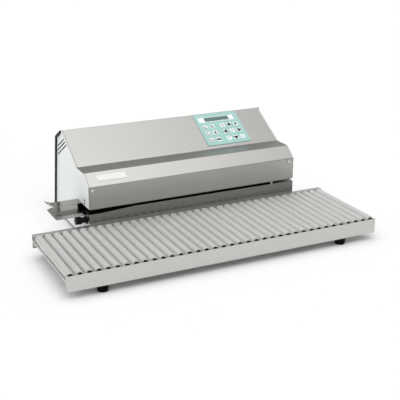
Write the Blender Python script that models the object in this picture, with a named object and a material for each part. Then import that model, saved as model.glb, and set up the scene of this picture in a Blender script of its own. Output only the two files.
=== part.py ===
"""Rotary heat sealer with a table of free rollers in front of its sealing slot.

Metres, +Z up, +X along the slot from the in-feed, +Y from the operator towards the back.
Heights are counted from the floor. While a piece is built, y = 0 is the housing's front face;
the empty called sealer then moves everything so that the origin is under the middle of the whole.
"""

from math import atan2, cos, hypot, pi, radians, sin, tan

import bmesh
import bpy
from mathutils import Matrix, Vector

# Clearances
GAP = 0.0003
OVERRUN = 0.002
RUNNING_GAP = 0.0004

# Roller table
ROLLER_COUNT = 37
ROLLER_RADIUS = 0.009
ROLLER_SPACE = 0.002
ROLLER_LENGTH = 0.2155
ROLLER_END_PLAY = 0.001
ROLLER_SINK = 0.0034
JOURNAL_RADIUS = 0.0045
SLOT_CLEARANCE = 0.0003
RAIL_SHEET = 0.0015
RAIL_HEIGHT = 0.034
RAIL_TOP_FLANGE = 0.005
RAIL_FOOT_FLANGE = 0.005
RAIL_LIP_CLEARANCE = 0.005
REAR_RAIL_RISE = 0.003
REAR_RAIL_HEIGHT = 0.031
REAR_TOP_FLANGE = 0.0155
TABLE_END_SPACE = 0.002
END_BAR_THICKNESS = 0.003
END_BAR_HEIGHT = 0.0045
END_BAR_DROP = 0.0056
CROSS_BAR_WIDTH = 0.020
CROSS_BAR_THICKNESS = 0.003
CROSS_BAR_INSET = 0.190
BRACKET_WIDTH = 0.030
BRACKET_DEPTH = 0.028

# Feet
TABLE_FOOT_HEIGHT = 0.0165
TABLE_FOOT_RADIUS = 0.0125
TABLE_FOOT_LEFT_INSET = 0.080
TABLE_FOOT_RIGHT_INSET = 0.086
BASE_FOOT_RADIUS = 0.010
BASE_FOOT_INSET = 0.030
FOOT_ROUNDING = 0.0012

# Housing profile, seen from its side: the runs and rises between its bends
HOUSING_LEFT_X = -0.238
HOUSING_WIDTH = 0.532
HOUSING_BASE_Z = 0.0075
LIP_DEPTH = 0.025
FACE_HEIGHT = 0.0545
LEDGE_DEPTH = 0.031
LEDGE_RISE = 0.0245
SHELF_DEPTH = 0.048
SLOPE_RUN = 0.105
SLOPE_RISE = 0.062
BEVEL_RUN = 0.0385
BEVEL_DROP = 0.0225
REAR_FLARE = 0.0365
COVER_SHEET = 0.0015
COVER_BEND = 0.004
SIDE_THICKNESS = 0.003
REAR_SHEET = 0.002
REAR_RETURN = 0.006
REAR_OVERHANG = 0.004

# Slot, its lower bar and the in-feed
BAR_RISE = 0.0058
BAR_HEIGHT = 0.0256
BAR_DEPTH = 0.030
BAR_WALL = 0.003
BAR_END_WALL = 0.008
LEAD_IN_LENGTH = 0.108
LEAD_IN_FLAT = 0.026
LEAD_IN_DROP = 0.0053
SLOT_OPENING = 0.0046
SLOT_HEADROOM = 0.003
SLOT_DEPTH = 0.084
TRAY_SHEET = 0.0012
TRAY_REACH = 0.073
TRAY_TONGUE = 0.015
TRAY_FRONT_Y = 0.004
TRAY_CORNER = 0.014
TRAY_FLARE_RADIUS = 0.020
TRAY_FLARE_ANGLE = radians(38)
GUIDE_SHEET = 0.001
GUIDE_REACH = 0.078
GUIDE_WIDTH = 0.0317
GUIDE_FLARE_RADIUS = 0.026
GUIDE_FLARE_ANGLE = radians(42)

# Vent slits in the side panels, parallel to the rear bevel
VENT_COUNT = 3
VENT_WIDTH = 0.003
VENT_PITCH = 0.0085
VENT_DROP = 0.0239
VENT_REAR_MARGIN = 0.0115
VENT_SLOPE_MARGIN = 0.004

# Knob on the bar's left end
KNOB_Y = 0.009
KNOB_HEADROOM = 0.0006
KNOB_SHAFT_RADIUS = 0.004
KNOB_SHAFT_INSIDE = 0.011
KNOB_STANDOFF = 0.003
KNOB_FLANGE_RADIUS = 0.0105
KNOB_FLANGE_THICKNESS = 0.003
KNOB_NECK_RADIUS = 0.0068
KNOB_NECK_LENGTH = 0.011
KNOB_GRIP_RADIUS = 0.0088
KNOB_GRIP_LENGTH = 0.0135
KNOB_FLUTE_DEPTH = 0.0008
KNOB_FLUTES = 18

# Keypad film and display on the upper slope
KEYPAD_RIGHT_MARGIN = 0.071
KEYPAD_WIDTH = 0.119
KEYPAD_LOW_MARGIN = 0.011
KEYPAD_TOP_MARGIN = 0.0029
KEYPAD_CORNER = 0.004
KEYPAD_FILM = 0.0008
KEY_SIZE = 0.0125
KEY_RISE = 0.0004
KEY_COLUMN_SHARES = (0.147, 0.304, 0.550, 0.707, 0.863)
KEY_ROW_SHARES = (0.162, 0.380, 0.583)
WINDOW_LEFT_SHARE = 0.206
WINDOW_WIDTH_SHARE = 0.567
WINDOW_DROP = 0.0135
WINDOW_HEIGHT = 0.0135
DISPLAY_DEPTH = 0.009
DISPLAY_BOARD_MARGIN = 0.006
BOARD_THICKNESS = 0.0016
BOARD_MARGIN = 0.005
BOARD_POST_RADIUS = 0.0025
BOARD_POST_INSET = 0.005
BOARD_PLUG_WIDTH = 0.040
BOARD_PLUG_DEPTH = 0.010
BOARD_PLUG_HEIGHT = 0.008

# Belts, pulleys and the gears that tie them
BELT_THICKNESS = 0.0015
BELT_WIDTH = 0.012
BELT_STANDOFF = 0.0088
PULLEY_RADIUS = 0.018
PULLEY_LEFT_INSET = 0.060
PULLEY_RIGHT_INSET = 0.062
SHAFT_RADIUS = 0.004
SHAFT_TAIL = 0.006
HUB_RADIUS = 0.008
HUB_LENGTH = 0.004
GEAR_TEETH = 20
GEAR_WIDTH = 0.008
GEAR_STANDOFF = 0.015
GEAR_ADDENDUM = 0.0015
GEAR_DEDENDUM = 0.0023
GEAR_ROOT_SHARE = 0.53
GEAR_TIP_SHARE = 0.22

# Mechanism frame, heaters and drive
FRAME_STANDOFF = 0.046
FRAME_SHEET = 0.003
FRAME_HEAD = 0.029
FRAME_END_INSET = 0.025
FRAME_FLANGE = 0.022
FRAME_BEND = 0.005
HEATER_START_SHARE = 0.22
HEATER_LENGTH_SHARE = 0.44
HEATER_HEIGHT = 0.013
HEATER_WIDTH = 0.011
HEATER_ARM = 0.005
MOTOR_RADIUS = 0.026
MOTOR_HEAD_RADIUS = 0.030
MOTOR_HEAD_LENGTH = 0.022
MOTOR_LENGTH = 0.085
MOTOR_RECESS_RADIUS = 0.008
MOTOR_RECESS_DEPTH = 0.012
BASE_SHEET = 0.0015
BASE_REAR_SKIRT = 0.025

# Mains inlet and rocker, set in the rear cover
INLET_RIGHT_INSET = 0.090
INLET_RISE = 0.065
INLET_SIDE_WALL = 0.00175
INLET_END_WALL = 0.005
INLET_MIDDLE_WALL = 0.0083
INLET_DEPTH = 0.030
INLET_FLANGE_SIDE = 0.003
INLET_FLANGE_END = 0.004
INLET_FLANGE_THICKNESS = 0.002
SOCKET_WIDTH = 0.0245
SOCKET_HEIGHT = 0.0165
SOCKET_DEPTH = 0.016
ROCKER_WIDTH = 0.018
ROCKER_HEIGHT = 0.020
ROCKER_DEPTH = 0.007
ROCKER_TILT = radians(9)
ROCKER_TIP = 0.0034
ROCKER_WAIST = 0.0016
ROCKER_CLEARANCE = 0.0006

# Rounding of curved forms, as counts
ROLLER_SIDES = 16
JOURNAL_SIDES = 8
TURNED_SIDES = 20
BEND_STEPS = 3
ARC_STEPS = 6

# What follows for the table
ROLLER_PITCH = 2 * ROLLER_RADIUS + ROLLER_SPACE
JOURNAL_SLOT_REACH = RAIL_TOP_FLANGE - RAIL_SHEET
JOURNAL_LENGTH = ROLLER_END_PLAY + JOURNAL_SLOT_REACH - GAP
TABLE_LENGTH = (ROLLER_COUNT - 1) * ROLLER_PITCH + 2 * (ROLLER_RADIUS + TABLE_END_SPACE)
RAIL_TOP_Z = TABLE_FOOT_HEIGHT + RAIL_HEIGHT
ROLLER_AXIS_Z = RAIL_TOP_Z - ROLLER_SINK
REAR_RAIL_TOP_Z = RAIL_TOP_Z + REAR_RAIL_RISE
REAR_RAIL_BASE_Z = REAR_RAIL_TOP_Z - REAR_RAIL_HEIGHT
TABLE_REAR_Y = -GAP
REAR_LIP_Y = TABLE_REAR_Y - REAR_TOP_FLANGE
FRONT_LIP_Y = REAR_LIP_Y - ROLLER_LENGTH - 2 * ROLLER_END_PLAY
TABLE_FRONT_Y = FRONT_LIP_Y - RAIL_TOP_FLANGE
ROLLER_MIDDLE_Y = (FRONT_LIP_Y + REAR_LIP_Y) / 2

# What follows for the housing and its slot
HOUSING_RIGHT_X = HOUSING_LEFT_X + HOUSING_WIDTH
BAR_LOW_Z = RAIL_TOP_Z + BAR_RISE
BAR_TOP_Z = BAR_LOW_Z + BAR_HEIGHT
SLOT_CEILING_Z = BAR_TOP_Z + SLOT_OPENING
SLOT_TOP_Z = SLOT_CEILING_Z + SLOT_HEADROOM
TRAY_TOP_Z = BAR_TOP_Z - LEAD_IN_DROP
KNOB_Z = TRAY_TOP_Z - TRAY_SHEET - KNOB_HEADROOM - KNOB_FLANGE_RADIUS
FACE_TOP_Z = SLOT_CEILING_Z + FACE_HEIGHT
SHELF_Z = FACE_TOP_Z + LEDGE_RISE
BROW_Y = LEDGE_DEPTH + SHELF_DEPTH
RIDGE_Y = BROW_Y + SLOPE_RUN
RIDGE_Z = SHELF_Z + SLOPE_RISE
REAR_TOP_Y = RIDGE_Y + BEVEL_RUN
REAR_TOP_Z = RIDGE_Z - BEVEL_DROP
REAR_BASE_Y = REAR_TOP_Y + REAR_FLARE
UPPER_SLOPE = atan2(SLOPE_RISE, SLOPE_RUN)
REAR_LEAN = atan2(REAR_FLARE, REAR_TOP_Z - HOUSING_BASE_Z)
MODEL_MIDDLE_Y = (TABLE_FRONT_Y + REAR_BASE_Y) / 2

# What follows for the keypad
KEYPAD_HEIGHT = hypot(SLOPE_RUN, SLOPE_RISE) - KEYPAD_LOW_MARGIN - KEYPAD_TOP_MARGIN
KEYPAD_LEFT_X = HOUSING_RIGHT_X - KEYPAD_RIGHT_MARGIN - KEYPAD_WIDTH
WINDOW_LEFT = WINDOW_LEFT_SHARE * KEYPAD_WIDTH
WINDOW_RIGHT = WINDOW_LEFT + WINDOW_WIDTH_SHARE * KEYPAD_WIDTH
WINDOW_HIGH = KEYPAD_HEIGHT - WINDOW_DROP
WINDOW_LOW = WINDOW_HIGH - WINDOW_HEIGHT

# What follows for the mechanism
PULLEY_WIDTH = BELT_WIDTH + RUNNING_GAP
BELT_Y = BAR_DEPTH + BELT_STANDOFF + HUB_LENGTH + PULLEY_WIDTH / 2
FRAME_Y = BELT_Y + FRAME_STANDOFF
GEAR_Y = FRAME_Y - GEAR_STANDOFF
PINCH_Z = (BAR_TOP_Z + SLOT_CEILING_Z) / 2
BELT_STAND = GAP / 2 + BELT_THICKNESS + GAP
UPPER_SHAFT_Z = PINCH_Z + BELT_STAND + PULLEY_RADIUS
LOWER_SHAFT_Z = PINCH_Z - BELT_STAND - PULLEY_RADIUS
LEFT_SHAFT_X = HOUSING_LEFT_X + PULLEY_LEFT_INSET
RIGHT_SHAFT_X = HOUSING_RIGHT_X - PULLEY_RIGHT_INSET

# What follows for the mains inlet
ROCKER_WELL = ROCKER_HEIGHT + 2 * ROCKER_CLEARANCE
INLET_WIDTH = SOCKET_WIDTH + 2 * INLET_SIDE_WALL
INLET_HEIGHT = 2 * INLET_END_WALL + SOCKET_HEIGHT + INLET_MIDDLE_WALL + ROCKER_WELL
SOCKET_LOW = INLET_END_WALL - INLET_HEIGHT / 2
ROCKER_RISE = INLET_HEIGHT / 2 - INLET_END_WALL - ROCKER_WELL / 2
INLET_FACE = GAP + INLET_FLANGE_THICKNESS


def clear_scene():
    """Remove what the open file holds, so that only the sealer is built."""
    for old in list(bpy.data.objects):
        bpy.data.objects.remove(old, do_unlink=True)


def linear(hex_colour):
    """An sRGB colour such as 'D8D8D6' as the linear values that a shader takes."""
    values = []
    for start in (0, 2, 4):
        value = int(hex_colour[start:start + 2], 16) / 255
        values.append(value / 12.92 if value <= 0.04045 else ((value + 0.055) / 1.055) ** 2.4)
    return (*values, 1.0)


def coloured(obj, hex_colour, roughness, metallic):
    """Give an object a material of its own."""
    material = bpy.data.materials.new(obj.name)
    material.use_nodes = True
    shader = material.node_tree.nodes["Principled BSDF"]
    shader.inputs["Base Color"].default_value = linear(hex_colour)
    shader.inputs["Roughness"].default_value = roughness
    shader.inputs["Metallic"].default_value = metallic
    obj.data.materials.clear()
    obj.data.materials.append(material)
    return obj


def add_object(name, mesh, parent=None):
    """Link a mesh into the scene under its own name."""
    obj = bpy.data.objects.new(name, mesh)
    bpy.context.collection.objects.link(obj)
    obj.parent = parent
    return obj


def finish_mesh(name, bm):
    """Turn a bmesh into a mesh whose faces all point out."""
    bmesh.ops.recalc_face_normals(bm, faces=bm.faces)
    mesh = bpy.data.meshes.new(name)
    bm.to_mesh(mesh)
    bm.free()
    return mesh


def shade_round(obj):
    """Smooth the round walls and keep the edges sharp."""
    obj.data.shade_smooth()
    obj.data.set_sharp_from_angle(angle=radians(35))
    return obj


def guide(obj):
    """Mark a body that only shapes another one."""
    obj.hide_render = True
    obj.display_type = "WIRE"
    return obj


def boolean(obj, other, operation):
    """Cut or join a guide body into an object."""
    modifier = obj.modifiers.new(other.name, "BOOLEAN")
    modifier.operation = operation
    modifier.object = guide(other)
    return obj


def place(along, a, b, t):
    """A point with the profile coordinates a, b and the place t along the named axis."""
    if along == "X":
        return Vector((t, a, b))
    if along == "Y":
        return Vector((a, t, b))
    return Vector((a, b, t))


def prism_into(bm, outline, along, low, high):
    """Add a straight prism with the given outline, from low to high along an axis."""
    base = [bm.verts.new(place(along, a, b, low)) for a, b in outline]
    top = [bm.verts.new(place(along, a, b, high)) for a, b in outline]
    bm.faces.new(base)
    bm.faces.new(top)
    for i in range(len(outline)):
        j = (i + 1) % len(outline)
        bm.faces.new((base[i], base[j], top[j], top[i]))


def prisms(name, pieces, parent=None):
    """One object made of straight prisms: each piece is (outline, along, low, high)."""
    bm = bmesh.new()
    for outline, along, low, high in pieces:
        prism_into(bm, outline, along, low, high)
    return add_object(name, finish_mesh(name, bm), parent)


def rectangle(a_low, a_high, b_low, b_high):
    """The outline of a rectangle."""
    return [(a_low, b_low), (a_high, b_low), (a_high, b_high), (a_low, b_high)]


def circle(radius, sides, a=0.0, b=0.0, turn=0.0):
    """Points on a circle round (a, b)."""
    return [(a + radius * cos(2 * pi * k / sides + turn), b + radius * sin(2 * pi * k / sides + turn))
            for k in range(sides)]


def rounded(points, radius, steps=BEND_STEPS, closed=False, keep=()):
    """Replace the corners of a path by arcs, except its open ends and the corners named in keep."""
    result = []
    count = len(points)
    for i, point in enumerate(points):
        if (not closed and i in (0, count - 1)) or i in keep:
            result.append(point)
            continue
        here = Vector(point)
        back = (Vector(points[i - 1]) - here).normalized()
        ahead = (Vector(points[(i + 1) % count]) - here).normalized()
        half = back.angle(ahead) / 2
        reach = radius / tan(half)
        middle = here + (back + ahead).normalized() * (radius / sin(half))
        start = here + back * reach - middle
        sweep = (here + ahead * reach - middle).angle(start)
        turn = 1 if start.y * back.x - start.x * back.y > 0 else -1
        for k in range(steps + 1):
            angle = turn * sweep * k / steps
            result.append((middle.x + start.x * cos(angle) - start.y * sin(angle),
                           middle.y + start.x * sin(angle) + start.y * cos(angle)))
    return result


def offset_path(points, depth):
    """A path moved sideways by depth, to the right of its direction for a positive depth."""
    result = []
    last = len(points) - 1
    for i, point in enumerate(points):
        before = Vector(points[i]) - Vector(points[i - 1]) if i > 0 else None
        after = Vector(points[i + 1]) - Vector(points[i]) if i < last else None
        first = (before or after).normalized()
        second = (after or before).normalized()
        normal = Vector((first.y + second.y, -first.x - second.x)).normalized()
        share = normal.dot(Vector((first.y, -first.x)))
        result.append((point[0] + normal.x * depth / share, point[1] + normal.y * depth / share))
    return result


def sheet_outline(path, thickness):
    """The closed outline of a bent sheet whose outer side is the path."""
    return list(path) + offset_path(path, thickness)[::-1]


def join_rings(bm, rings):
    """Join each ring of corners to the next one by a band of faces."""
    for low, high in zip(rings, rings[1:]):
        for i in range(len(low)):
            j = (i + 1) % len(low)
            bm.faces.new((low[i], low[j], high[j], high[i]))


def turn_into(bm, profile, along, sides, a=0.0, b=0.0):
    """Add a solid of revolution round the axis through (a, b): profile points are (radius, place)."""
    rings = []
    for radius, t in profile:
        rings.append([bm.verts.new(place(along, p, q, t)) for p, q in circle(radius, sides, a, b)])
    bm.faces.new(rings[0])
    bm.faces.new(rings[-1])
    join_rings(bm, rings)


def turned(name, profile, along, sides, parent):
    """One turned object round an axis through its own origin."""
    bm = bmesh.new()
    turn_into(bm, profile, along, sides)
    return add_object(name, finish_mesh(name, bm), parent)


def arc_end(x, z, reach, radius, angle, direction):
    """A sheet path that runs level to the left and then bends up (1) or down (-1) at its end."""
    straight = x - reach + radius * sin(angle)
    points = [(x, z)]
    for k in range(ARC_STEPS + 1):
        a = angle * k / ARC_STEPS
        points.append((straight - radius * sin(a), z + direction * radius * (1 - cos(a))))
    return points


def cover_path():
    """The outer line of the top cover from the slot lip's rear edge to the ridge, as (y, z)."""
    corners = [(LIP_DEPTH, SLOT_CEILING_Z), (0.0, SLOT_CEILING_Z), (0.0, FACE_TOP_Z), (LEDGE_DEPTH, SHELF_Z),
               (BROW_Y, SHELF_Z), (RIDGE_Y, RIDGE_Z)]
    return rounded(corners, COVER_BEND)


def rear_path():
    """The outer line of the rear cover from the ridge to its lower edge, as (y, z)."""
    return [(RIDGE_Y, RIDGE_Z), (REAR_TOP_Y, REAR_TOP_Z), (REAR_BASE_Y, HOUSING_BASE_Z)]


def rear_line(depth):
    """The rear cover's line at a depth inside its outer side, mitred at the ridge and cut level below."""
    cover_side = Vector((BROW_Y, SHELF_Z))
    moved = offset_path([tuple(cover_side)] + rear_path(), depth)
    ridge = moved[1]
    top = moved[2]
    base = (REAR_BASE_Y - depth / cos(REAR_LEAN), HOUSING_BASE_Z)
    return [ridge, top, base]


def make_table_frame(parent):
    """Two folded rails with a row of open journal slots, tied by bars, with brackets over the feet."""
    half = TABLE_LENGTH / 2
    rails = []
    for outer, lip, inward, base, top in (
            (TABLE_FRONT_Y, FRONT_LIP_Y, 1, TABLE_FOOT_HEIGHT, RAIL_TOP_Z),
            (TABLE_REAR_Y, REAR_LIP_Y, -1, REAR_RAIL_BASE_Z, REAR_RAIL_TOP_Z)):
        path = [(outer + inward * RAIL_FOOT_FLANGE, base), (outer, base), (outer, top), (lip, top),
                (lip, base + RAIL_LIP_CLEARANCE)]
        rails.append((sheet_outline(path, inward * RAIL_SHEET), "X", -half, half))
    frame = prisms("table_frame", rails, parent)

    slots = []
    radius = JOURNAL_RADIUS + SLOT_CLEARANCE
    for x in roller_places():
        bottom = []
        for k in range(ARC_STEPS + 1):
            angle = pi + pi * k / ARC_STEPS
            bottom.append((x + radius * cos(angle), ROLLER_AXIS_Z + radius * sin(angle)))
        high = REAR_RAIL_TOP_Z + OVERRUN
        outline = bottom + [(x + radius, high), (x - radius, high)]
        slots.append((outline, "Y", FRONT_LIP_Y - JOURNAL_SLOT_REACH, FRONT_LIP_Y + OVERRUN))
        slots.append((outline, "Y", REAR_LIP_Y - OVERRUN, REAR_LIP_Y + JOURNAL_SLOT_REACH))
    boolean(frame, prisms("journal_slots", slots, parent), "DIFFERENCE")

    end_top = ROLLER_AXIS_Z - END_BAR_DROP
    cross_low = REAR_RAIL_BASE_Z + RAIL_SHEET / 2
    bracket_low = TABLE_FOOT_HEIGHT + RAIL_SHEET / 2
    front = TABLE_FRONT_Y + RAIL_SHEET / 2
    rear = TABLE_REAR_Y - RAIL_SHEET / 2
    bars = []
    for side in (-1, 1):
        end = side * (half - END_BAR_THICKNESS / 2)
        bars.append((rectangle(front, rear, end_top - END_BAR_HEIGHT, end_top), "X",
                     end - END_BAR_THICKNESS / 2, end + END_BAR_THICKNESS / 2))
        middle = side * CROSS_BAR_INSET
        bars.append((rectangle(front, rear, cross_low, cross_low + CROSS_BAR_THICKNESS), "X",
                     middle - CROSS_BAR_WIDTH / 2, middle + CROSS_BAR_WIDTH / 2))
    for x, _ in table_foot_places():
        bars.append((rectangle(front, TABLE_FRONT_Y + BRACKET_DEPTH, bracket_low,
                               bracket_low + CROSS_BAR_THICKNESS), "X",
                     x - BRACKET_WIDTH / 2, x + BRACKET_WIDTH / 2))
    boolean(frame, prisms("frame_bars", bars, parent), "UNION")
    foot_height = TABLE_FOOT_HEIGHT + RAIL_SHEET
    boolean(frame, feet("table_feet", table_foot_places(), TABLE_FOOT_RADIUS, foot_height, parent), "UNION")
    return coloured(frame, "D2D2D0", 0.35, 0.9)


def roller_places():
    """The X of every roller's axis, from left to right."""
    return [(k - (ROLLER_COUNT - 1) / 2) * ROLLER_PITCH for k in range(ROLLER_COUNT)]


def roller_mesh():
    """A plain barrel with a short journal at each end, round its own Y axis."""
    bm = bmesh.new()
    step = ROLLER_SIDES // JOURNAL_SIDES
    half = ROLLER_LENGTH / 2

    def ring(radius, sides, y):
        return [bm.verts.new((a, y, b)) for a, b in circle(radius, sides)]

    barrel = [ring(ROLLER_RADIUS, ROLLER_SIDES, side * half) for side in (-1, 1)]
    join_rings(bm, barrel)
    for side, edge in zip((-1, 1), barrel):
        root = ring(JOURNAL_RADIUS, JOURNAL_SIDES, side * half)
        tip = ring(JOURNAL_RADIUS, JOURNAL_SIDES, side * (half + JOURNAL_LENGTH))
        join_rings(bm, [root, tip])
        bm.faces.new(tip)
        for i in range(JOURNAL_SIDES):
            rim = [edge[(i * step + k) % ROLLER_SIDES] for k in range(step + 1)]
            bm.faces.new(rim + [root[(i + 1) % JOURNAL_SIDES], root[i]])
    return finish_mesh("roller", bm)


def make_rollers(parent):
    """The free rollers, each its own piece with its origin on its axis."""
    mesh = roller_mesh()
    rollers = []
    for number, x in enumerate(roller_places(), start=1):
        roller = add_object(f"roller_{number:02d}", mesh if number == 1 else mesh.copy(), parent)
        roller.location = (x, ROLLER_MIDDLE_Y, ROLLER_AXIS_Z)
        rollers.append(coloured(shade_round(roller), "CFCFCD", 0.4, 0.6))
    return rollers


def table_foot_places():
    """Where the two feet under the table's front rail stand."""
    y = TABLE_FRONT_Y + TABLE_FOOT_RADIUS + FOOT_ROUNDING
    half = TABLE_LENGTH / 2
    return [(TABLE_FOOT_LEFT_INSET - half, y), (half - TABLE_FOOT_RIGHT_INSET, y)]


def base_foot_places():
    """Where the four low feet under the housing stand."""
    return [(x, y) for x in (HOUSING_LEFT_X + BASE_FOOT_INSET, HOUSING_RIGHT_X - BASE_FOOT_INSET)
            for y in (BASE_FOOT_INSET, REAR_BASE_Y - REAR_RETURN - BASE_FOOT_INSET)]


def feet(name, places, radius, height, parent):
    """Round rubber feet that stand on the floor, as bodies to be joined into what they carry."""
    bm = bmesh.new()
    for x, y in places:
        profile = [(radius - FOOT_ROUNDING, 0.0), (radius, FOOT_ROUNDING), (radius, height)]
        turn_into(bm, profile, "Z", ROLLER_SIDES, x, y)
    return add_object(name, finish_mesh(name, bm), parent)


def make_base_tray(parent):
    """The housing's bottom pan: one bent sheet with a front skirt up to the bar and a low rear skirt."""
    rear = REAR_BASE_Y - REAR_SHEET / cos(REAR_LEAN) - GAP - BASE_REAR_SKIRT * tan(REAR_LEAN)
    path = [(rear, HOUSING_BASE_Z + BASE_REAR_SKIRT), (rear, HOUSING_BASE_Z), (0.0, HOUSING_BASE_Z),
            (0.0, BAR_LOW_Z - GAP)]
    path = rounded(path, COVER_BEND)
    inset = SIDE_THICKNESS + GAP
    tray = prisms("base_tray", [(sheet_outline(path, BASE_SHEET), "X", HOUSING_LEFT_X + inset,
                                 HOUSING_RIGHT_X - inset)], parent)
    foot_height = HOUSING_BASE_Z + BASE_SHEET / 2
    boolean(tray, feet("base_feet", base_foot_places(), BASE_FOOT_RADIUS, foot_height, parent), "UNION")
    return coloured(shade_round(tray), "A8A9A9", 0.45, 0.9)


def make_lower_bar(parent):
    """A hollow bar under the slot, open at its right end, with a lead-in on its top left."""
    low = HOUSING_LEFT_X
    high = HOUSING_RIGHT_X
    lead = BAR_TOP_Z - LEAD_IN_DROP
    outline = [(low, BAR_LOW_Z), (high, BAR_LOW_Z), (high, BAR_TOP_Z), (low + LEAD_IN_LENGTH, BAR_TOP_Z),
               (low + LEAD_IN_FLAT, lead), (low, lead)]
    bar = prisms("lower_bar", [(outline, "Y", 0.0, BAR_DEPTH)], parent)
    hollow = prisms("bar_hollow", [
        (rectangle(BAR_WALL, BAR_DEPTH - BAR_WALL, BAR_LOW_Z + BAR_WALL, lead - BAR_WALL), "X",
         low + BAR_END_WALL, high + OVERRUN)], parent)
    bore = prisms("bar_bore", [(circle(KNOB_SHAFT_RADIUS + RUNNING_GAP, ROLLER_SIDES, KNOB_Y, KNOB_Z), "X",
                                low - OVERRUN, low + BAR_END_WALL + OVERRUN)], parent)
    boolean(bar, hollow, "DIFFERENCE")
    boolean(bar, bore, "DIFFERENCE")
    return coloured(bar, "8A8B89", 0.3, 0.9)


def make_margin_knob(parent):
    """The knurled knob: shaft, flange, neck and fluted grip round its own X axis."""
    flange_right = -KNOB_STANDOFF
    flange_left = flange_right - KNOB_FLANGE_THICKNESS
    neck_left = flange_left - KNOB_NECK_LENGTH
    grip_left = neck_left - KNOB_GRIP_LENGTH
    profile = [(KNOB_SHAFT_RADIUS, KNOB_SHAFT_INSIDE), (KNOB_SHAFT_RADIUS, flange_right),
               (KNOB_FLANGE_RADIUS, flange_right), (KNOB_FLANGE_RADIUS, flange_left),
               (KNOB_NECK_RADIUS, flange_left), (KNOB_NECK_RADIUS, neck_left - KNOB_GRIP_LENGTH / 2)]
    knob = turned("margin_knob", profile, "X", ROLLER_SIDES, parent)
    knob.location = (HOUSING_LEFT_X, KNOB_Y, KNOB_Z)
    flutes = []
    for k in range(KNOB_FLUTES):
        for share, radius in ((0.0, KNOB_GRIP_RADIUS), (0.5, KNOB_GRIP_RADIUS - KNOB_FLUTE_DEPTH)):
            angle = 2 * pi * (k + share) / KNOB_FLUTES
            flutes.append((radius * cos(angle), radius * sin(angle)))
    grip = prisms("knob_grip", [(flutes, "X", grip_left, neck_left)], parent)
    grip.location = knob.location
    boolean(knob, grip, "UNION")
    return coloured(shade_round(knob), "101010", 0.45, 0.0)


def corner_cutter(x, y, radius, low, high):
    """What is cut off a sheet's front left corner to round it."""
    angles = [pi / 2 * k / ARC_STEPS for k in range(ARC_STEPS + 1)]
    arc = [(x + radius - radius * sin(angle), y + radius - radius * cos(angle)) for angle in angles]
    outline = [(x - OVERRUN, y - OVERRUN), (x + radius, y - OVERRUN)] + arc + [(x - OVERRUN, y + radius)]
    return outline, "Z", low, high


def make_infeed_tray(parent):
    """The lower in-feed sheet: level, bent down at its left end, with a tongue in the panel's slot."""
    tongue_x = HOUSING_LEFT_X + TRAY_TONGUE
    path = arc_end(tongue_x, TRAY_TOP_Z, TRAY_REACH + TRAY_TONGUE, TRAY_FLARE_RADIUS, TRAY_FLARE_ANGLE, -1)
    low = TRAY_TOP_Z - TRAY_FLARE_RADIUS
    high = TRAY_TOP_Z + OVERRUN
    rear = SLOT_DEPTH - GAP
    tray = prisms("infeed_tray", [(sheet_outline(path, -TRAY_SHEET), "Y", TRAY_FRONT_Y, rear)], parent)
    cutter = prisms("tray_cuts", [
        corner_cutter(HOUSING_LEFT_X - TRAY_REACH, TRAY_FRONT_Y, TRAY_CORNER, low, high),
        (rectangle(HOUSING_LEFT_X - GAP, tongue_x + OVERRUN, TRAY_FRONT_Y - OVERRUN, BAR_DEPTH + GAP), "Z",
         low, high)], parent)
    boolean(tray, cutter, "DIFFERENCE")
    return coloured(shade_round(tray), "B4B2AE", 0.2, 1.0)


def make_infeed_guide(parent):
    """The upper in-feed sheet, flared up at its left end."""
    tongue_x = HOUSING_LEFT_X + TRAY_TONGUE
    top = SLOT_TOP_Z - GAP
    path = arc_end(tongue_x, top, GUIDE_REACH + TRAY_TONGUE, GUIDE_FLARE_RADIUS, GUIDE_FLARE_ANGLE, 1)
    rear = SLOT_DEPTH - GAP
    front = rear - GUIDE_WIDTH
    guide_sheet = prisms("infeed_guide", [(sheet_outline(path, -GUIDE_SHEET), "Y", front, rear)], parent)
    corner = corner_cutter(HOUSING_LEFT_X - GUIDE_REACH, front, TRAY_CORNER, top - OVERRUN,
                           top + GUIDE_FLARE_RADIUS)
    boolean(guide_sheet, prisms("guide_cuts", [corner], parent), "DIFFERENCE")
    return coloured(shade_round(guide_sheet), "BDBBB5", 0.15, 1.0)


def panel_outline(slot_floor):
    """A side panel's outline as (y, z), with the deep slot and the notch that the bar fills."""
    rear = rear_line(REAR_SHEET + GAP)
    slot = [(0.0, HOUSING_BASE_Z), (0.0, BAR_LOW_Z - GAP), (BAR_DEPTH + GAP, BAR_LOW_Z - GAP),
            (BAR_DEPTH + GAP, slot_floor), (SLOT_DEPTH, slot_floor), (SLOT_DEPTH, SLOT_TOP_Z),
            (0.0, SLOT_TOP_Z)]
    face = [point for point in cover_path() if point[1] > SLOT_TOP_Z]
    return slot + face[:-1] + [(RIDGE_Y - GAP, RIDGE_Z - GAP * tan(UPPER_SLOPE))] + rear


def reach_edge(point, along, edge, inward, margin):
    """The place on a line through point where it is as far as margin inside an edge."""
    return point + along * ((margin - (point - edge).dot(inward)) / along.dot(inward))


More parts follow.
